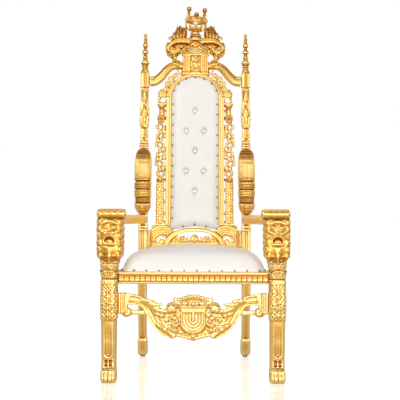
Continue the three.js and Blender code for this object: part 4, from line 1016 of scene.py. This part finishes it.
def apron_side():
    parts = [block([296, -13, 292], [325, 13, 383]),
             stem([[300, -12, 294], [300, -12, 382]], 3, 5), stem([[310, -12, 294], [310, -12, 382]], 4, 6),
             stem([[320, -11, 294], [320, -11, 382]], 2.5, 4)]
    # leaf that falls from the end block to the knob
    parts += [ribbon([[280, -2, 380], [287, -3, 354], [294, -4, 322], [288, -6, 298]],
                     lambda t: 13 - 4 * t, lambda u, t: 11 * np.sqrt(1 - 0.7 * u**2) - 2.5 * ridge(u, 0.2), 10, count=50)]
    parts += [ball([288, -6, 299], [24, 14, 22])] + volute([287, -13, 300], 14, 1.1, 90, 1, 4, 7, 5)

    def band(u, t):
        return 8 + 5 * ridge(u - 0.8, 0.17) + 4 * ridge(u + 0.78, 0.2) + 2.6 * ridge(u - 0.05, 0.3)

    # the long band from the end block down to the knob under the shield
    parts += [ribbon([[300, 0, 354], [250, 0, 353], [212, 0, 337], [188, 0, 297], [164, 0, 254], [132, 0, 220], [90, 0, 201]],
                     lambda t: 25 - 8 * np.clip(t / 0.45, 0, 1), band, 10, count=110, columns=30)]
    parts += [ball([86, -5, 200], [15, 13, 13])] + volute([86, -11, 200], 11, 1.0, 0, 1, 3.6, 6, 4)
    # strap of beads from the knob
    parts += [ribbon([[286, 0, 299], [232, -1, 297], [192, 0, 300]], lambda t: 10 - 2 * t,
                     lambda u, t: 8 + 2 * np.abs(np.sin(9 * np.pi * t)) * (np.abs(u) < 0.5) + 2.2 * ridge(np.abs(u) - 0.85, 0.15),
                     9, count=70)]
    # long leaves on the band and over the corner
    parts += [leaf([228, -6, 352], [166, -9, 346], 24, 8, 7, 4, 6), leaf([206, -7, 340], [128, -10, 333], 26, 8, 7, 5, 6, bend=4),
              leaf([196, -6, 326], [112, -10, 306], 24, 8, 7, 5, 6, bend=3), leaf([182, -6, 316], [106, -9, 300], 24, 9, 7, 4, 6),
              leaf([176, -5, 300], [134, -8, 286], 17, 8, 6, 3, 6), leaf([128, -5, 300], [146, -8, 268], 14, 7, 6, 3, 6)]
    parts += spray([94, -6, 304], [(-84, 26), (-46, 36), (-14, 38), (18, 38), (52, 34), (84, 24)], 17, 9, 8, 3, 6, 5)
    parts += volute([94, -12, 316], 14, 1.1, 250, 1, 4, 6, 4)
    # scrolls and leaves round the holes
    parts += volute([113, -5, 266], 19, 1.2, 20, -1, 4.5, 8, 5)
    parts += [stem([[148, -2, 300], [138, -4, 280], [140, -4, 258], [122, -3, 246]], 4.5, 8),
              stem([[92, -3, 292], [86, -4, 270], [92, -4, 250], [70, -3, 226]], 4.5, 8)]
    parts += [leaf([134, -4, 250], [100, -8, 226], 18, 8, 7, 3, 6), leaf([118, -4, 250], [82, -8, 252], 16, 8, 7, 3, 6),
              leaf([96, -4, 286], [66, -8, 264], 16, 8, 7, 3, 6), leaf([86, -4, 236], [58, -8, 252], 15, 7, 7, 3, 6),
              leaf([92, -4, 222], [62, -8, 226], 15, 7, 7, 3, 6), leaf([74, -4, 300], [60, -7, 274], 13, 6, 6, 2, 5)]
    # leaves along the outer band
    parts += [leaf([158 - 24 * k, -7, 250 - 18 * k], [134 - 24 * k, -10, 232 - 14 * k], 17, 7, 6, 3, 5) for k in range(3)]
    # leafy foot from the knob to the drop
    parts += [stem([[88, 0, 206], [60, 0, 210], [30, 0, 202], [0, 0, 194]], 8, 9)]
    parts += [leaf([72 - 17 * k, -5, 208 - 4 * k], [56 - 17 * k, -7, 192 - 5 * k], 17, 5, 7, 2, 6) for k in range(4)]
    return parts


def coronet():
    """Arched cresting over the shield: base moulding and rows of small leaves on the pierced ground."""
    parts = [block([-56, -14, 312], [56, 12, 320]), stem([[-58, -10, 324], [0, -12, 324], [58, -10, 324]], 4.5, 7)]
    rim = [[x, -5, 367 - 0.0046 * x * x] for x in range(-80, 81, 10)]
    parts += [stem(rim, 5, 8)]
    for x in (-60, -40, -20, 0, 20, 40, 60):
        parts += [leaf([x, -6, 358 - 0.0046 * x * x], [x * 1.1, -9, 381 - 0.0042 * x * x], 20, 5, 7, 2, 5)]
    for x in (-66, -44, -17, 17, 44, 66):
        parts += [leaf([x * 0.86, -6, 328], [x, -9, 348], 15, 5, 6, 2, 5)]
    parts += mirrored([leaf([62, -4, 330], [88, -6, 356], 18, 6, 7, 3, 5), leaf([74, -4, 346], [84, -6, 368], 14, 5, 6, 2, 5)])
    return parts


def apron():
    parts = mirrored(apron_side()) + [shield()] + coronet()
    parts += [pierced(apron_plate, (-325, 170), (325, 384), 7, 8)]
    parts += [stem([[-60, -3, 300], [-57, -5, 254], [-36, -5, 220], [0, -5, 206], [36, -5, 220], [57, -5, 254], [60, -3, 300]],
                   4, 8, count=70)]
    parts += [leaf([0, -6, 206], [0, -6, 173], 30, 6, 8, 3, 6), ball([0, -8, 198], [12, 11, 8])]
    points, faces = melted(parts, 2.7)
    points = smoothed(points, faces, 1) + [0, APRON_Y, 0]
    # painted light: the whole apron lighter
    bright = np.full(len(points), -0.22)
    piece("apron_carving", points, faces, GOLD, ["front_apron"], "gold", bright)


# ---------------------------------------------------------------- front legs
LEG_HALF_X = [(0, 31), (4, 34), (14, 35.5), (44, 34.5), (66, 32), (92, 32), (180, 33), (266, 33.5), (274, 34.5), (345, 35.5),
              (420, 34.5), (427, 35), (431, 36), (442, 36), (446, 34), (480, 35), (512, 35.5)]
LEG_HALF_Y = [(0, 36), (5, 41), (16, 44), (50, 41), (70, 36), (92, 34), (180, 38), (262, 41), (290, 44), (345, 46),
              (420, 42), (431, 44), (442, 44), (446, 41), (480, 42), (512, 43)]
LEG_FORWARD = [(0, 2), (16, 8), (50, 5), (72, 0), (180, 4), (276, 7), (345, 9), (424, 4), (446, 3), (512, 2)]


def shell_ring(turn, z, root, tip, rise, shift=0.0):
    """Relief of four scallop shells round a leg, opening upwards, each with ribs that fan out to its edge."""
    u = ((turn * 4 + shift) % 1 - 0.5) * 2
    t = (z - root) / (tip - root)
    edge = 0.45 + 0.55 * np.sqrt(np.clip(1 - u**2, 0, 1))
    share = np.clip(t / edge, 0, 1)
    ribs = 2.8 * np.abs(np.cos(7 * np.arctan2(u, 0.3 + t))) * share
    rim = 2.0 * ridge(share - 0.9, 0.09)
    return np.where((t > 0) & (t < edge), rise * (0.3 + 0.7 * share**1.2) + ribs + rim, 0)


def knee_mesh(around, z):
    """0 to 1 at the drilled dots of the knee, which sit in a diagonal mesh of 19 mm."""
    return np.clip(1 - np.hypot(np.sin(np.pi * (around + z) / 19), np.sin(np.pi * (around - z) / 19)) / 0.5, 0, 1)


def knee_relief(turn, z, x, front):
    """Soft scales with drilled dots over the knee, rosettes down its front and a flower at each corner."""
    around = turn * 266
    scales = 1.5 * np.abs(np.sin(np.pi * (around + z) / 19) * np.sin(np.pi * (around - z) / 19)) ** 0.7
    foot = 266 + 7 * np.abs(np.sin(12 * np.pi * turn))
    relief = (1.4 + scales - 1.2 * knee_mesh(around, z)) * np.clip((z - foot) / 2, 0, 1)
    for height in (398, 372, 346, 320, 294):
        away, angle = np.hypot(x, z - height), np.arctan2(z - height, x)
        petals = 3.6 * ridge(away - 8, 3.8) * np.cos(2.5 * angle) ** 2
        relief = relief + front * (petals + 3.5 * dome(away, 5))
    for height in (386, 334, 286):
        away = np.hypot(np.abs(x) - 24, z - height)
        relief = relief + front * (2.2 * ridge(away - 7, 3.2) - 2.8 * dome(away, 3.5))
    return relief


def leg_shade(points):
    """Painted shade in the knee's drilled dots, on its corner flowers and over the lower collar's foot; painted
    highlight on a band at 437 mm.
    """
    x, z = points[:, 0], points[:, 2]
    knee = (z > 270) & (z < 430)
    flowers = sum(ridge(np.hypot(np.abs(x) - 24, z - height), 3.5) for height in (386, 334, 286))
    return 0.25 * knee * knee_mesh(x + 133, z) + 0.9 * knee * flowers + 0.6 * ridge(z - 445.5, 3) - 0.3 * ridge(z - 437, 5)


def leg_relief(turn, z, x, front):
    """Collars of shells, scaled knee, and a tongue outlined on the shank."""
    relief = np.maximum.reduce([
        shell_ring(turn, z, 480, 522, 3.4), shell_ring(turn, z, 446, 484, 3.6, 0.5),
        leaf_ring(turn, z, 431, 444, 28, 1.6),
    ])
    relief = relief - 2.0 * ridge(z - 445.5, 1.6) + (z < 431) * knee_relief(turn, z, x, front)
    reach = np.hypot(x, np.clip(125 - z, 0, 99))
    panel = (z > 98) * front * np.clip((248 - z) / 40, 0, 1)
    foot = 1 + 0.8 * np.clip((135 - z) / 20, 0, 1)
    tongue = 1.6 * ridge(reach - 18.5, 2.4) * foot + 1.1 * ridge(reach - 7.5, 2.0) - 1.3 * np.clip((16 - reach) / 3, 0, 1)
    return relief + panel * tongue


def paw_relief(z, x, front):
    """Four toes with a groove down each, and two deep slots above them."""
    centers = (-26, -9, 9, 26)
    toes = np.maximum.reduce([dome(x - c, 10) for c in centers])
    reach = eased(z, [(0, 0.6), (8, 0.95), (26, 1.0), (46, 0.7), (66, 0.0), (600, 0.0)])
    grooves = sum(ridge(x - c, 1.6) for c in centers) * np.clip((52 - z) / 10, 0, 1)
    a = np.abs(x)
    slots = np.clip((7 - np.abs(a - 10)) / 1.5, 0, 1) * np.clip((14.5 - np.abs(z - 84)) / 1.5, 0, 1)
    return front * (8.5 * toes * reach - 0.9 * grooves - 15 * slots)


def leg_section(turn, z):
    """Offsets of the leg's outline from its axis, without its carving."""
    power = eased(z, [(0, 3.4), (70, 4.2), (250, 4.0), (512, 3.2), (523, 3.2)])
    return rounded_square(turn, eased(z, LEG_HALF_X), eased(z, LEG_HALF_Y), power)


def front_legs():
    z, turn = stem_grid(np.arange(0.0, 512.5, 2.2), 112)
    x, y, c, s = leg_section(turn, z)
    front = np.clip((-s - 0.35) / 0.25, 0, 1)
    relief = leg_relief(turn, z, x, front)
    rings = np.stack([x + c * relief, y + s * relief - paw_relief(z, x, front) - eased(z, LEG_FORWARD), z], 2)
    points, faces = loft(rings)
    points[:, 2] = np.minimum(points[:, 2], 512)
    low = box_of("front_leg_left")[0]
    points[:, 1] = np.maximum(points[:, 1] + LEG_Y, low[1])
    pair("front_leg", "front_leg", points + [LEG_X, 0, 0], faces, GOLD, "gold", leg_shade(points))


# ---------------------------------------------------------------- lion heads
FACE_ASIDE = 8                  # the face sits this far outwards under its rolled scroll
HEAD_HALF_X = [(512, 35.5), (520, 39), (530, 46), (545, 53), (566, 55.5), (640, 55.5), (700, 55), (712, 52)]
HEAD_HALF_Y = [(512, 43), (523, 44), (528, 46), (548, 53), (566, 55), (640, 55), (700, 54), (712, 50)]
HEAD_BACK = [(512, -2), (523, -2), (560, 4.5), (712, 6)]


def curls(turn, z):
    """Relief of the mane: rows of curls, each a small spiral that turns the other way to its neighbours."""
    pitch, width = 29, 26
    row = np.floor((z - 530) / pitch)
    across = turn * 16 + 0.5 * (row % 2)
    hand = np.where((np.floor(across) + row) % 2 > 0, 1, -1)
    u, v = (across % 1 - 0.5) * width, ((z - 530) / pitch % 1 - 0.5) * pitch
    away, angle = np.hypot(u, v), np.arctan2(v, u)
    spiral = np.cos(hand * angle - 2 * np.pi * away / 7.5) * np.clip((13 - away) / 4, 0, 1)
    return 4.2 * dome(away, 14.5) + 2.3 * spiral + 1.0 * np.cos(z * 0.5 + 3 * np.sin(u * 0.4)) * (away > 12)


def face_relief(x, z):
    """How far the face stands out: arched brow, eyes, broad nose, cheeks, open mouth and a pointed beard."""
    a = np.abs(x)
    brow = 3.2 * ridge(z - 694 + 0.012 * x * x, 5) - 1.8 * ridge(z - 684 + 0.012 * x * x, 4)
    muzzle = 8 * ridge(np.hypot(x / 1.25, z - 636), 24) + 3 * ridge(np.hypot(x, z - 670), 20)
    nose = 2.4 * ridge(x, 7) * np.clip((684 - z) / 20, 0, 1) * np.clip((z - 640) / 6, 0, 1)
    nostrils = 5 * ridge(np.hypot(x, z - 645), 5.5) + 5 * ridge(np.hypot(a - 17, z - 644), 5.5)
    cheeks = 4 * ridge(np.hypot(a - 32, z - 650), 6)
    eyes = 2.6 * ridge(np.hypot((a - 18) / 1.4, z - 669), 4.5) - 1.2 * ridge(np.hypot((a - 18) / 1.5, z - 670) - 9, 3)
    mouth = -15 * ridge(z - 621 + x * x / 34, 4.6) * np.clip((21 - a) / 3, 0, 1)
    tongue = 3 * ridge(np.hypot(x, z - 607), 8)
    lip = 4 * ridge(z - 596, 4) * np.clip((28 - a) / 6, 0, 1) - 1.6 * ridge(z - 588, 3) * np.clip((28 - a) / 6, 0, 1)
    beard = 6 * ridge(x / (4 + 0.34 * np.clip(z - 530, 0, 70)), 1.0) * np.clip((592 - z) / 8, 0, 1)
    strands = 1.1 * np.cos(x * 1.1 + 1.5 * np.sin(z / 9)) * np.clip((588 - z) / 10, 0, 1)
    return brow + muzzle + nose + nostrils + cheeks + eyes + mouth + tongue + lip + beard + strands


def head_shade(x, z):
    """Painted shade between the beard's strands, in the open mouth and under the roll, a painted highlight on the
    snout, and the whole head a little darker.
    """
    strands = ridge(z - 538, 18) * ridge(np.abs(x) - 24, 11) * (0.7 + 0.3 * np.cos(x))
    mouth = ridge(z - 620 + x * x / 34, 5) * (np.abs(x) < 22)
    return 0.8 * strands + 0.5 * mouth + 0.55 * ridge(z - 705, 6) - 0.2 * ridge(z - 645, 6) + 0.22


def head_roll():
    """The rolled scroll over the head: a bolster with rounded ends, a lip under it and a cap behind."""
    def radius(t):
        end = np.clip((np.abs(t - 0.5) * 127 - 50) / 13.5, 0, 1)
        return 7 + 13.5 * np.sqrt(1 - end**2) + 0.8 * np.abs(np.cos(4.5 * np.pi * t))

    roll = stem([[-63.5, -30, 726], [0, -30, 726], [63.5, -30, 726]], radius, radius, count=80, sides=36)
    cap = [block([-54, -30, 705], [56, 50, 740]), stem([[-54, 36, 724], [56, 36, 724]], 15, 15, sides=24)]
    return [roll, *cap]


def lion_heads():
    """A block of curls with the face carved in its front, on the collar's shell tips and under the scroll."""
    z, turn = stem_grid(np.arange(512.5, 712.0, 1.7), 230)
    power = eased(z, [(512, 3.2), (560, 4.5), (712, 5.0)])
    x, y, c, s = rounded_square(turn, eased(z, HEAD_HALF_X), eased(z, HEAD_HALF_Y), power)
    y = y + eased(z, HEAD_BACK)
    front = np.clip((-s - 0.4) / 0.2, 0, 1) * np.clip((38 - np.abs(x)) / 7, 0, 1)
    mane = curls(turn, z) * np.clip((z - 530) / 10, 0, 1) * np.clip((708 - z) / 6, 0, 1)
    tips = shell_ring(turn, z, 480, 522, 3.4)
    relief = front * face_relief(x, z) + (1 - front) * mane + tips
    block_shape = loft(np.stack([x + c * relief + FACE_ASIDE, y + s * relief, z], 2))
    points, faces = melted([block_shape, *head_roll()], 2.5)
    points = smoothed(points, faces, 1)
    place, low = middle_of("lion_head_left"), box_of("front_leg_left")[0]
    points[:, 2] = np.clip(points[:, 2], 512.3, 746.8)
    points[:, 0] = np.clip(points[:, 0], -63.9, 63.9)
    shade = head_shade(points[:, 0] - FACE_ASIDE, points[:, 2])
    points += [place[0], LEG_Y, 0]
    points[:, 1] = np.maximum(points[:, 1], low[1])
    pair("lion_head", "lion_head", points, faces, GOLD, "gold", shade)


# ---------------------------------------------------------------- padded back and seat
BUTTONS = [tuple(middle_of(f"back_button_{k}")[[0, 2]]) for k in range(1, 8)]
PAD_SPRING = 1334
PAD_ARCH = 107
PAD_FOOT = 647
PAD_HOLLOW = 19


def pad_edge(x, z):
    """Distance inwards from the pad's outline, in millimetres (negative outside it)."""
    half = PAD_HIGH[0]
    arch = PAD_SPRING + PAD_ARCH * np.sqrt(np.clip(1 - (x / half) ** 2, 0, 1))
    slope = np.sqrt(1 + (PAD_ARCH / half * x / half) ** 2 / np.clip(1 - (x / half) ** 2, 0.04, 1))
    foot = PAD_FOOT + PAD_HOLLOW * (1 - np.abs(x) / half)
    return np.minimum.reduce([half - np.abs(x), (arch - z) / slope, z - foot])


def pad_nails():
    """Where the nails sit along the pad: both sides, over the arch and along the foot."""
    half = PAD_HIGH[0] - 7
    places = [(side * half, z) for side in (-1, 1) for z in np.arange(PAD_FOOT + 5, PAD_SPRING + 10, 53.5)]
    for a in np.radians([18, 42, 66, 90, 114, 138, 162]):
        places.append((half * math.cos(a), PAD_SPRING + (PAD_ARCH - 7) * math.sin(a)))
    places += [(x, PAD_FOOT + 8 + PAD_HOLLOW * (1 - abs(x) / PAD_HIGH[0])) for x in (-57, 0, 57)]
    return places


def pad_height(x, z):
    """How far the pad's cover stands in front of its edge."""
    inside = np.clip(pad_edge(x, z), 0, None)
    swell = 22 * (1 - np.exp(-inside / 16)) + 6 * (1 - np.exp(-inside / 60))
    for bx, bz in BUTTONS:
        away = np.hypot(x - bx, (z - bz) * 0.92)
        angle = np.arctan2(z - bz, x - bx)
        folds = 1 + 0.03 * np.cos(4 * angle)
        swell = swell - 11 * np.exp(-(away / (16 * folds)) ** 1.3) - 5 * np.exp(-(away / 38) ** 2)
    for nx, nz in pad_nails():
        swell = swell - 2.6 * np.exp(-(np.hypot(x - nx, z - nz) / 9) ** 2)
    return swell


def back_pad():
    """The buttoned pad: a grid fitted to the outline, swollen in front and flat behind."""
    rows, columns = 230, 60
    half = PAD_HIGH[0] - 0.2
    u, v = np.meshgrid(np.linspace(-1, 1, columns + 1), np.linspace(0, 1, rows + 1))
    # squeeze the grid so that its edge follows the arch and the foot
    x = half * np.sin(u * np.pi / 2)
    top = PAD_SPRING + (PAD_ARCH - 0.2) * np.sqrt(np.clip(1 - (x / half) ** 2, 0, 1))
    foot = PAD_FOOT + 0.2 + PAD_HOLLOW * (1 - np.abs(x) / half)
    z = foot + (top - foot) * (0.5 - 0.5 * np.cos(np.pi * v)) ** 0.9
    edge_y = -9.0
    front = np.stack([x, edge_y - pad_height(x, z), z], 2)
    rear = np.stack([x, 0 * x + 14, z], 2)
    points, faces = two_sided(front, rear)
    pad = piece("back_pad_cover", leaned(points), faces, LEATHER, ["back_pad"], "leather")


def two_sided(front, rear):
    """A closed skin from a front grid and a rear grid that share their outline's shape."""
    rows, columns, _ = front.shape
    size = rows * columns
    i, j = np.meshgrid(np.arange(rows - 1), np.arange(columns - 1), indexing="ij")
    a = (i * columns + j).ravel()
    quads = np.stack([a, a + 1, a + columns + 1, a + columns], 1)
    border = np.concatenate([np.arange(columns), np.arange(1, rows) * columns + columns - 1,
                             (rows - 1) * columns + np.arange(columns - 2, -1, -1), np.arange(rows - 2, 0, -1) * columns])
    after = np.roll(border, -1)
    wall = np.stack([border, border + size, after + size, after], 1)
    faces = np.vstack([quads, quads[:, ::-1] + size, wall])
    points = np.vstack([front.reshape(-1, 3), rear.reshape(-1, 3)])
    return quads_outward(points, faces)


def quads_outward(points, faces):
    a, b, c, d = (points[faces[:, k]] for k in range(4))
    volume = np.einsum("ij,ij->i", a, np.cross(b, c) + np.cross(c, d)).sum()
    return (points, faces) if volume > 0 else (points, faces[:, ::-1])


def seat_half(y):
    """Half width of the seat's plan at a depth."""
    share = (y - SEAT_LOW[1]) / (SEAT_HIGH[1] - SEAT_LOW[1])
    return SEAT_HIGH[0] - 0.5 - share * 46


def seat_nails():
    """Nail places along the front and both sides of the cushion, as points and outward directions."""
    places = []
    for x in np.arange(-312, 313, 54.5):
        places.append(((x, SEAT_LOW[1] + 1.6 + 7 * (x / 320) ** 2, SEAT_TOP + 6.5), (0, -1, 0)))
    for side in (-1, 1):
        for y in np.arange(SEAT_LOW[1] + 60, SEAT_HIGH[1] - 20, 52):
            places.append(((side * (seat_half(y) + 0.6), y, SEAT_TOP + 6.5), (side, 0, 0)))
    return places


def seat_cushion():
    """The crowned cushion: tight over its top, rolled at its edge and nailed down along the rail."""
    rings, sides = 44, 200
    turn = np.linspace(0, 2 * np.pi, sides, endpoint=False)
    s = np.linspace(0, 1, rings)[:, None]
    power = 12 - 8 * s**0.5
    c, n = np.cos(turn)[None], np.sin(turn)[None]
    r = (np.abs(c) ** power + np.abs(n) ** power) ** (-1 / power)
    inward = s**1.9
    y_middle, y_half = (SEAT_LOW[1] + SEAT_HIGH[1]) / 2, (SEAT_HIGH[1] - SEAT_LOW[1]) / 2
    scale = 1 - inward
    y = y_middle + y_half * r * n * scale
    x = seat_half(y) * r * c * scale
    # the front edge bows forward
    bow = 7 * (1 - (x / 320) ** 2) * np.clip((y_middle - y) / y_half, 0, 1) ** 2
    y = np.maximum(y + 7 * np.clip((y_middle - y) / y_half, 0, 1) ** 2 - bow, SEAT_LOW[1])
    rise = (SEAT_HIGH[2] - SEAT_TOP)
    inside = inward * y_half
    z = SEAT_TOP + 12 + (rise - 12) * (1 - 0.42 * np.exp(-inside / 11) - 0.58 * np.exp(-inside / 62))
    z = z + 0 * x
    edge = np.stack([x[0], y[0], np.full(sides, SEAT_TOP + 0.4)], 1)
    pucker = 1.3 * np.cos(2 * np.pi * (x[0] + 312) / 52) * (n[0] < -0.3)
    skirt = np.stack([x[0] * 1.0, y[0] + np.maximum(pucker, -0.2) * 0.6, np.full(sides, SEAT_TOP + 7.0)], 1)
    stack = np.concatenate([edge[None] * [0.985, 0.985, 1], edge[None], skirt[None], np.stack([x, y, z], 2)])
    points, faces = loft(stack)
    cushion = piece("seat_cushion_cover", points, faces, LEATHER, ["seat_cushion"], "leather")


def stud(place, direction, radius=4.6, height=2.6):
    """A domed nail head standing out along a direction."""
    place, direction = np.array(place, float), unit(np.array(direction, float))
    side = unit(np.cross(direction, [0.3, 0.2, 1.0]))
    up = np.cross(direction, side)
    turn = np.linspace(0, 2 * np.pi, 14, endpoint=False)[:, None]
    ring = side * np.cos(turn) + up * np.sin(turn)
    rings = [place + ring * radius * k + direction * height * h for k, h in
             ((0.9, -0.6), (1, 0), (0.94, 0.35), (0.72, 0.72), (0.4, 0.94), (0.08, 1.0))]
    return loft(np.array(rings))


def nails_and_buttons():
    lean_out = unit(np.array([0, -1.0, LEAN]))
    heads = []
    for x, z in pad_nails():
        y = -9 - pad_height(np.array([x]), np.array([z]))[0] + back_line(np.array(z))
        heads.append(stud((x, y, z), lean_out, 5.6))
    piece("pad_nail_heads", *joined(heads), NICKEL)
    piece("seat_nail_heads", *joined([stud(place, out, 5.2) for place, out in seat_nails()]), NICKEL)
    for k, (x, z) in enumerate(BUTTONS):
        y = -9 - pad_height(np.array([x]), np.array([z]))[0] + back_line(np.array(z))
        piece(f"button_{k + 1}", *crystal_button((x, y, z), lean_out), CRYSTAL, [f"back_button_{k + 1}"], "crystal")


def crystal_button(place, out):
    """A round cut stone: flat table, two rows of facets and a girdle."""
    place, out = np.array(place, float), np.array(out, float)
    side = unit(np.cross(out, [0, 0, 1.0]))
    up = np.cross(side, out)
    turn = np.linspace(0, 2 * np.pi, 12, endpoint=False)[:, None]
    rings = []
    for radius, height, shift in ((7.5, -2, 0), (10, 0.5, 0), (10, 1.5, 0.5), (7.4, 4.5, 0), (4.6, 6.0, 0.5), (0.4, 6.2, 0.5)):
        angle = turn + shift * 2 * np.pi / 12
        rings.append(place + (side * np.cos(angle) + up * np.sin(angle)) * radius + out * height)
    return loft(np.array(rings))


def rear_glides():
    for side in ("left", "right"):
        x, y, _ = middle_of(f"rear_glide_{side}")
        points, faces = lathe((x, y), [(1, 0), (12, 0), (12.8, 1.2), (12.8, 4.8), (12, 6), (1, 6)], 36)
        piece(f"rear_glide_{side}_disc", points, faces, NYLON, [f"rear_glide_{side}"], "nylon")


# ---------------------------------------------------------------- stage
def light(name, place, target, size, power, colour=(1, 1, 1)):
    data = bpy.data.lights.new(name, "AREA")
    data.shape = "RECTANGLE"
    data.size, data.size_y = size
    data.energy = power
    data.color = colour
    made = bpy.data.objects.new(name, data)
    bpy.context.scene.collection.objects.link(made)
    place, target = np.array(place, float), np.array(target, float)
    made.location = place
    direction = Vector(target - place)
    made.rotation_euler = direction.to_track_quat("-Z", "Y").to_euler()


def floor_material():
    """White with a faint mirror image to the eye; to other rays a dim sheet, so that undersides stay shaded."""
    material, tree, _ = shader("floor_white")
    white = add_node(tree, "ShaderNodeEmission", {"Color": (1, 1, 0.995, 1), "Strength": 1.42})
    sheen = add_node(tree, "ShaderNodeBsdfGlossy", {"Color": (1, 1, 1, 1), "Roughness": 0.13})
    seen = add_node(tree, "ShaderNodeMixShader", {0: 0.52})
    dim = add_node(tree, "ShaderNodeBsdfDiffuse", {"Color": (0.88, 0.81, 0.70, 1)})
    path = add_node(tree, "ShaderNodeLightPath")
    mix = add_node(tree, "ShaderNodeMixShader")
    output = tree.nodes["Material Output"]
    tree.links.new(white.outputs[0], seen.inputs[1])
    tree.links.new(sheen.outputs[0], seen.inputs[2])
    tree.links.new(path.outputs["Is Camera Ray"], mix.inputs[0])
    tree.links.new(dim.outputs[0], mix.inputs[1])
    tree.links.new(seen.outputs[0], mix.inputs[2])
    tree.links.new(mix.outputs[0], output.inputs["Surface"])
    return material


def studio_world():
    """White where it is seen; for other rays a bright band round the room under a dim ceiling."""
    world = bpy.data.worlds.new("studio")
    bpy.context.scene.world = world
    world.use_nodes = True
    tree = world.node_tree
    tree.nodes.clear()
    coordinates = add_node(tree, "ShaderNodeTexCoord")
    split = add_node(tree, "ShaderNodeSeparateXYZ")
    tree.links.new(coordinates.outputs["Generated"], split.inputs[0])
    sky = ramp(tree, split.outputs["Z"], [
        (0.0, (0.60, 0.60, 0.59)), (0.12, (0.64, 0.64, 0.63)), (0.28, (1.0, 1.0, 0.98)), (0.46, (0.95, 0.94, 0.92)),
        (0.62, (0.26, 0.25, 0.24)), (1.0, (0.30, 0.30, 0.30)),
    ])
    depth = add_node(tree, "ShaderNodeMapRange", {"From Min": -0.3, "From Max": 0.5, "To Min": 1.05, "To Max": 1.20})
    tree.links.new(split.outputs["Y"], depth.inputs["Value"])
    around = add_node(tree, "ShaderNodeBackground")
    tree.links.new(sky.outputs["Color"], around.inputs["Color"])
    tree.links.new(depth.outputs["Result"], around.inputs["Strength"])
    seen = add_node(tree, "ShaderNodeBackground", {"Color": (1, 1, 1, 1), "Strength": 1.0})
    path = add_node(tree, "ShaderNodeLightPath")
    mix = add_node(tree, "ShaderNodeMixShader")
    output = add_node(tree, "ShaderNodeOutputWorld")
    tree.links.new(path.outputs["Is Camera Ray"], mix.inputs[0])
    tree.links.new(around.outputs[0], mix.inputs[1])
    tree.links.new(seen.outputs[0], mix.inputs[2])
    tree.links.new(mix.outputs[0], output.inputs[0])


def studio():
    floor_mesh = bpy.data.meshes.new("floor")
    reach = 30
    corners = [(-reach, -reach, 0), (reach, -reach, 0), (reach, reach, 0), (-reach, reach, 0)]
    floor_mesh.from_pydata(corners, [], [(0, 1, 2, 3)])
    floor = bpy.data.objects.new("floor", floor_mesh)
    floor_mesh.materials.append(floor_material())
    bpy.context.scene.collection.objects.link(floor)
    studio_world()
    bpy.context.scene.view_settings.view_transform = "Standard"
    light("key", (-2.0, -3.4, 3.2), (0, 0, 0.9), (1.4, 1.8), 32, (1, 0.98, 0.95))
    light("fill", (2.6, -3.2, 2.0), (0, 0, 0.8), (1.2, 2.0), 15)
    light("front", (0.3, -3.6, 0.6), (0, 0, 0.25), (2.6, 0.8), 32)
    light("top", (0, -0.4, 4.4), (0, 0, 0.9), (2.4, 1.6), 20)
    light("back_left", (-2.4, 2.6, 2.4), (0, 0, 1.0), (1.0, 2.0), 5)
    light("back_right", (2.4, 2.6, 2.4), (0, 0, 1.0), (1.0, 2.0), 5)


def camera():
    """The photograph's view: a long lens at the sitter's eye level, level but for a small tilt up."""
    data = bpy.data.cameras.new("camera")
    data.sensor_width = 36
    data.lens = 72.45
    made = bpy.data.objects.new("camera", data)
    made.location = (0.0275, -3.851, 0.717)
    made.rotation_euler = (math.radians(90 + 1.14), math.radians(-0.25), 0)
    bpy.context.scene.collection.objects.link(made)
    bpy.context.scene.camera = made


# ---------------------------------------------------------------- build
camera()
studio()
back_posts()
post_scrolls()
side_panels()
arch_frame()
lower_rail()
crest()
crown()
rails()
arms()
apron()
front_legs()
lion_heads()
back_pad()
seat_cushion()
nails_and_buttons()
rear_glides()
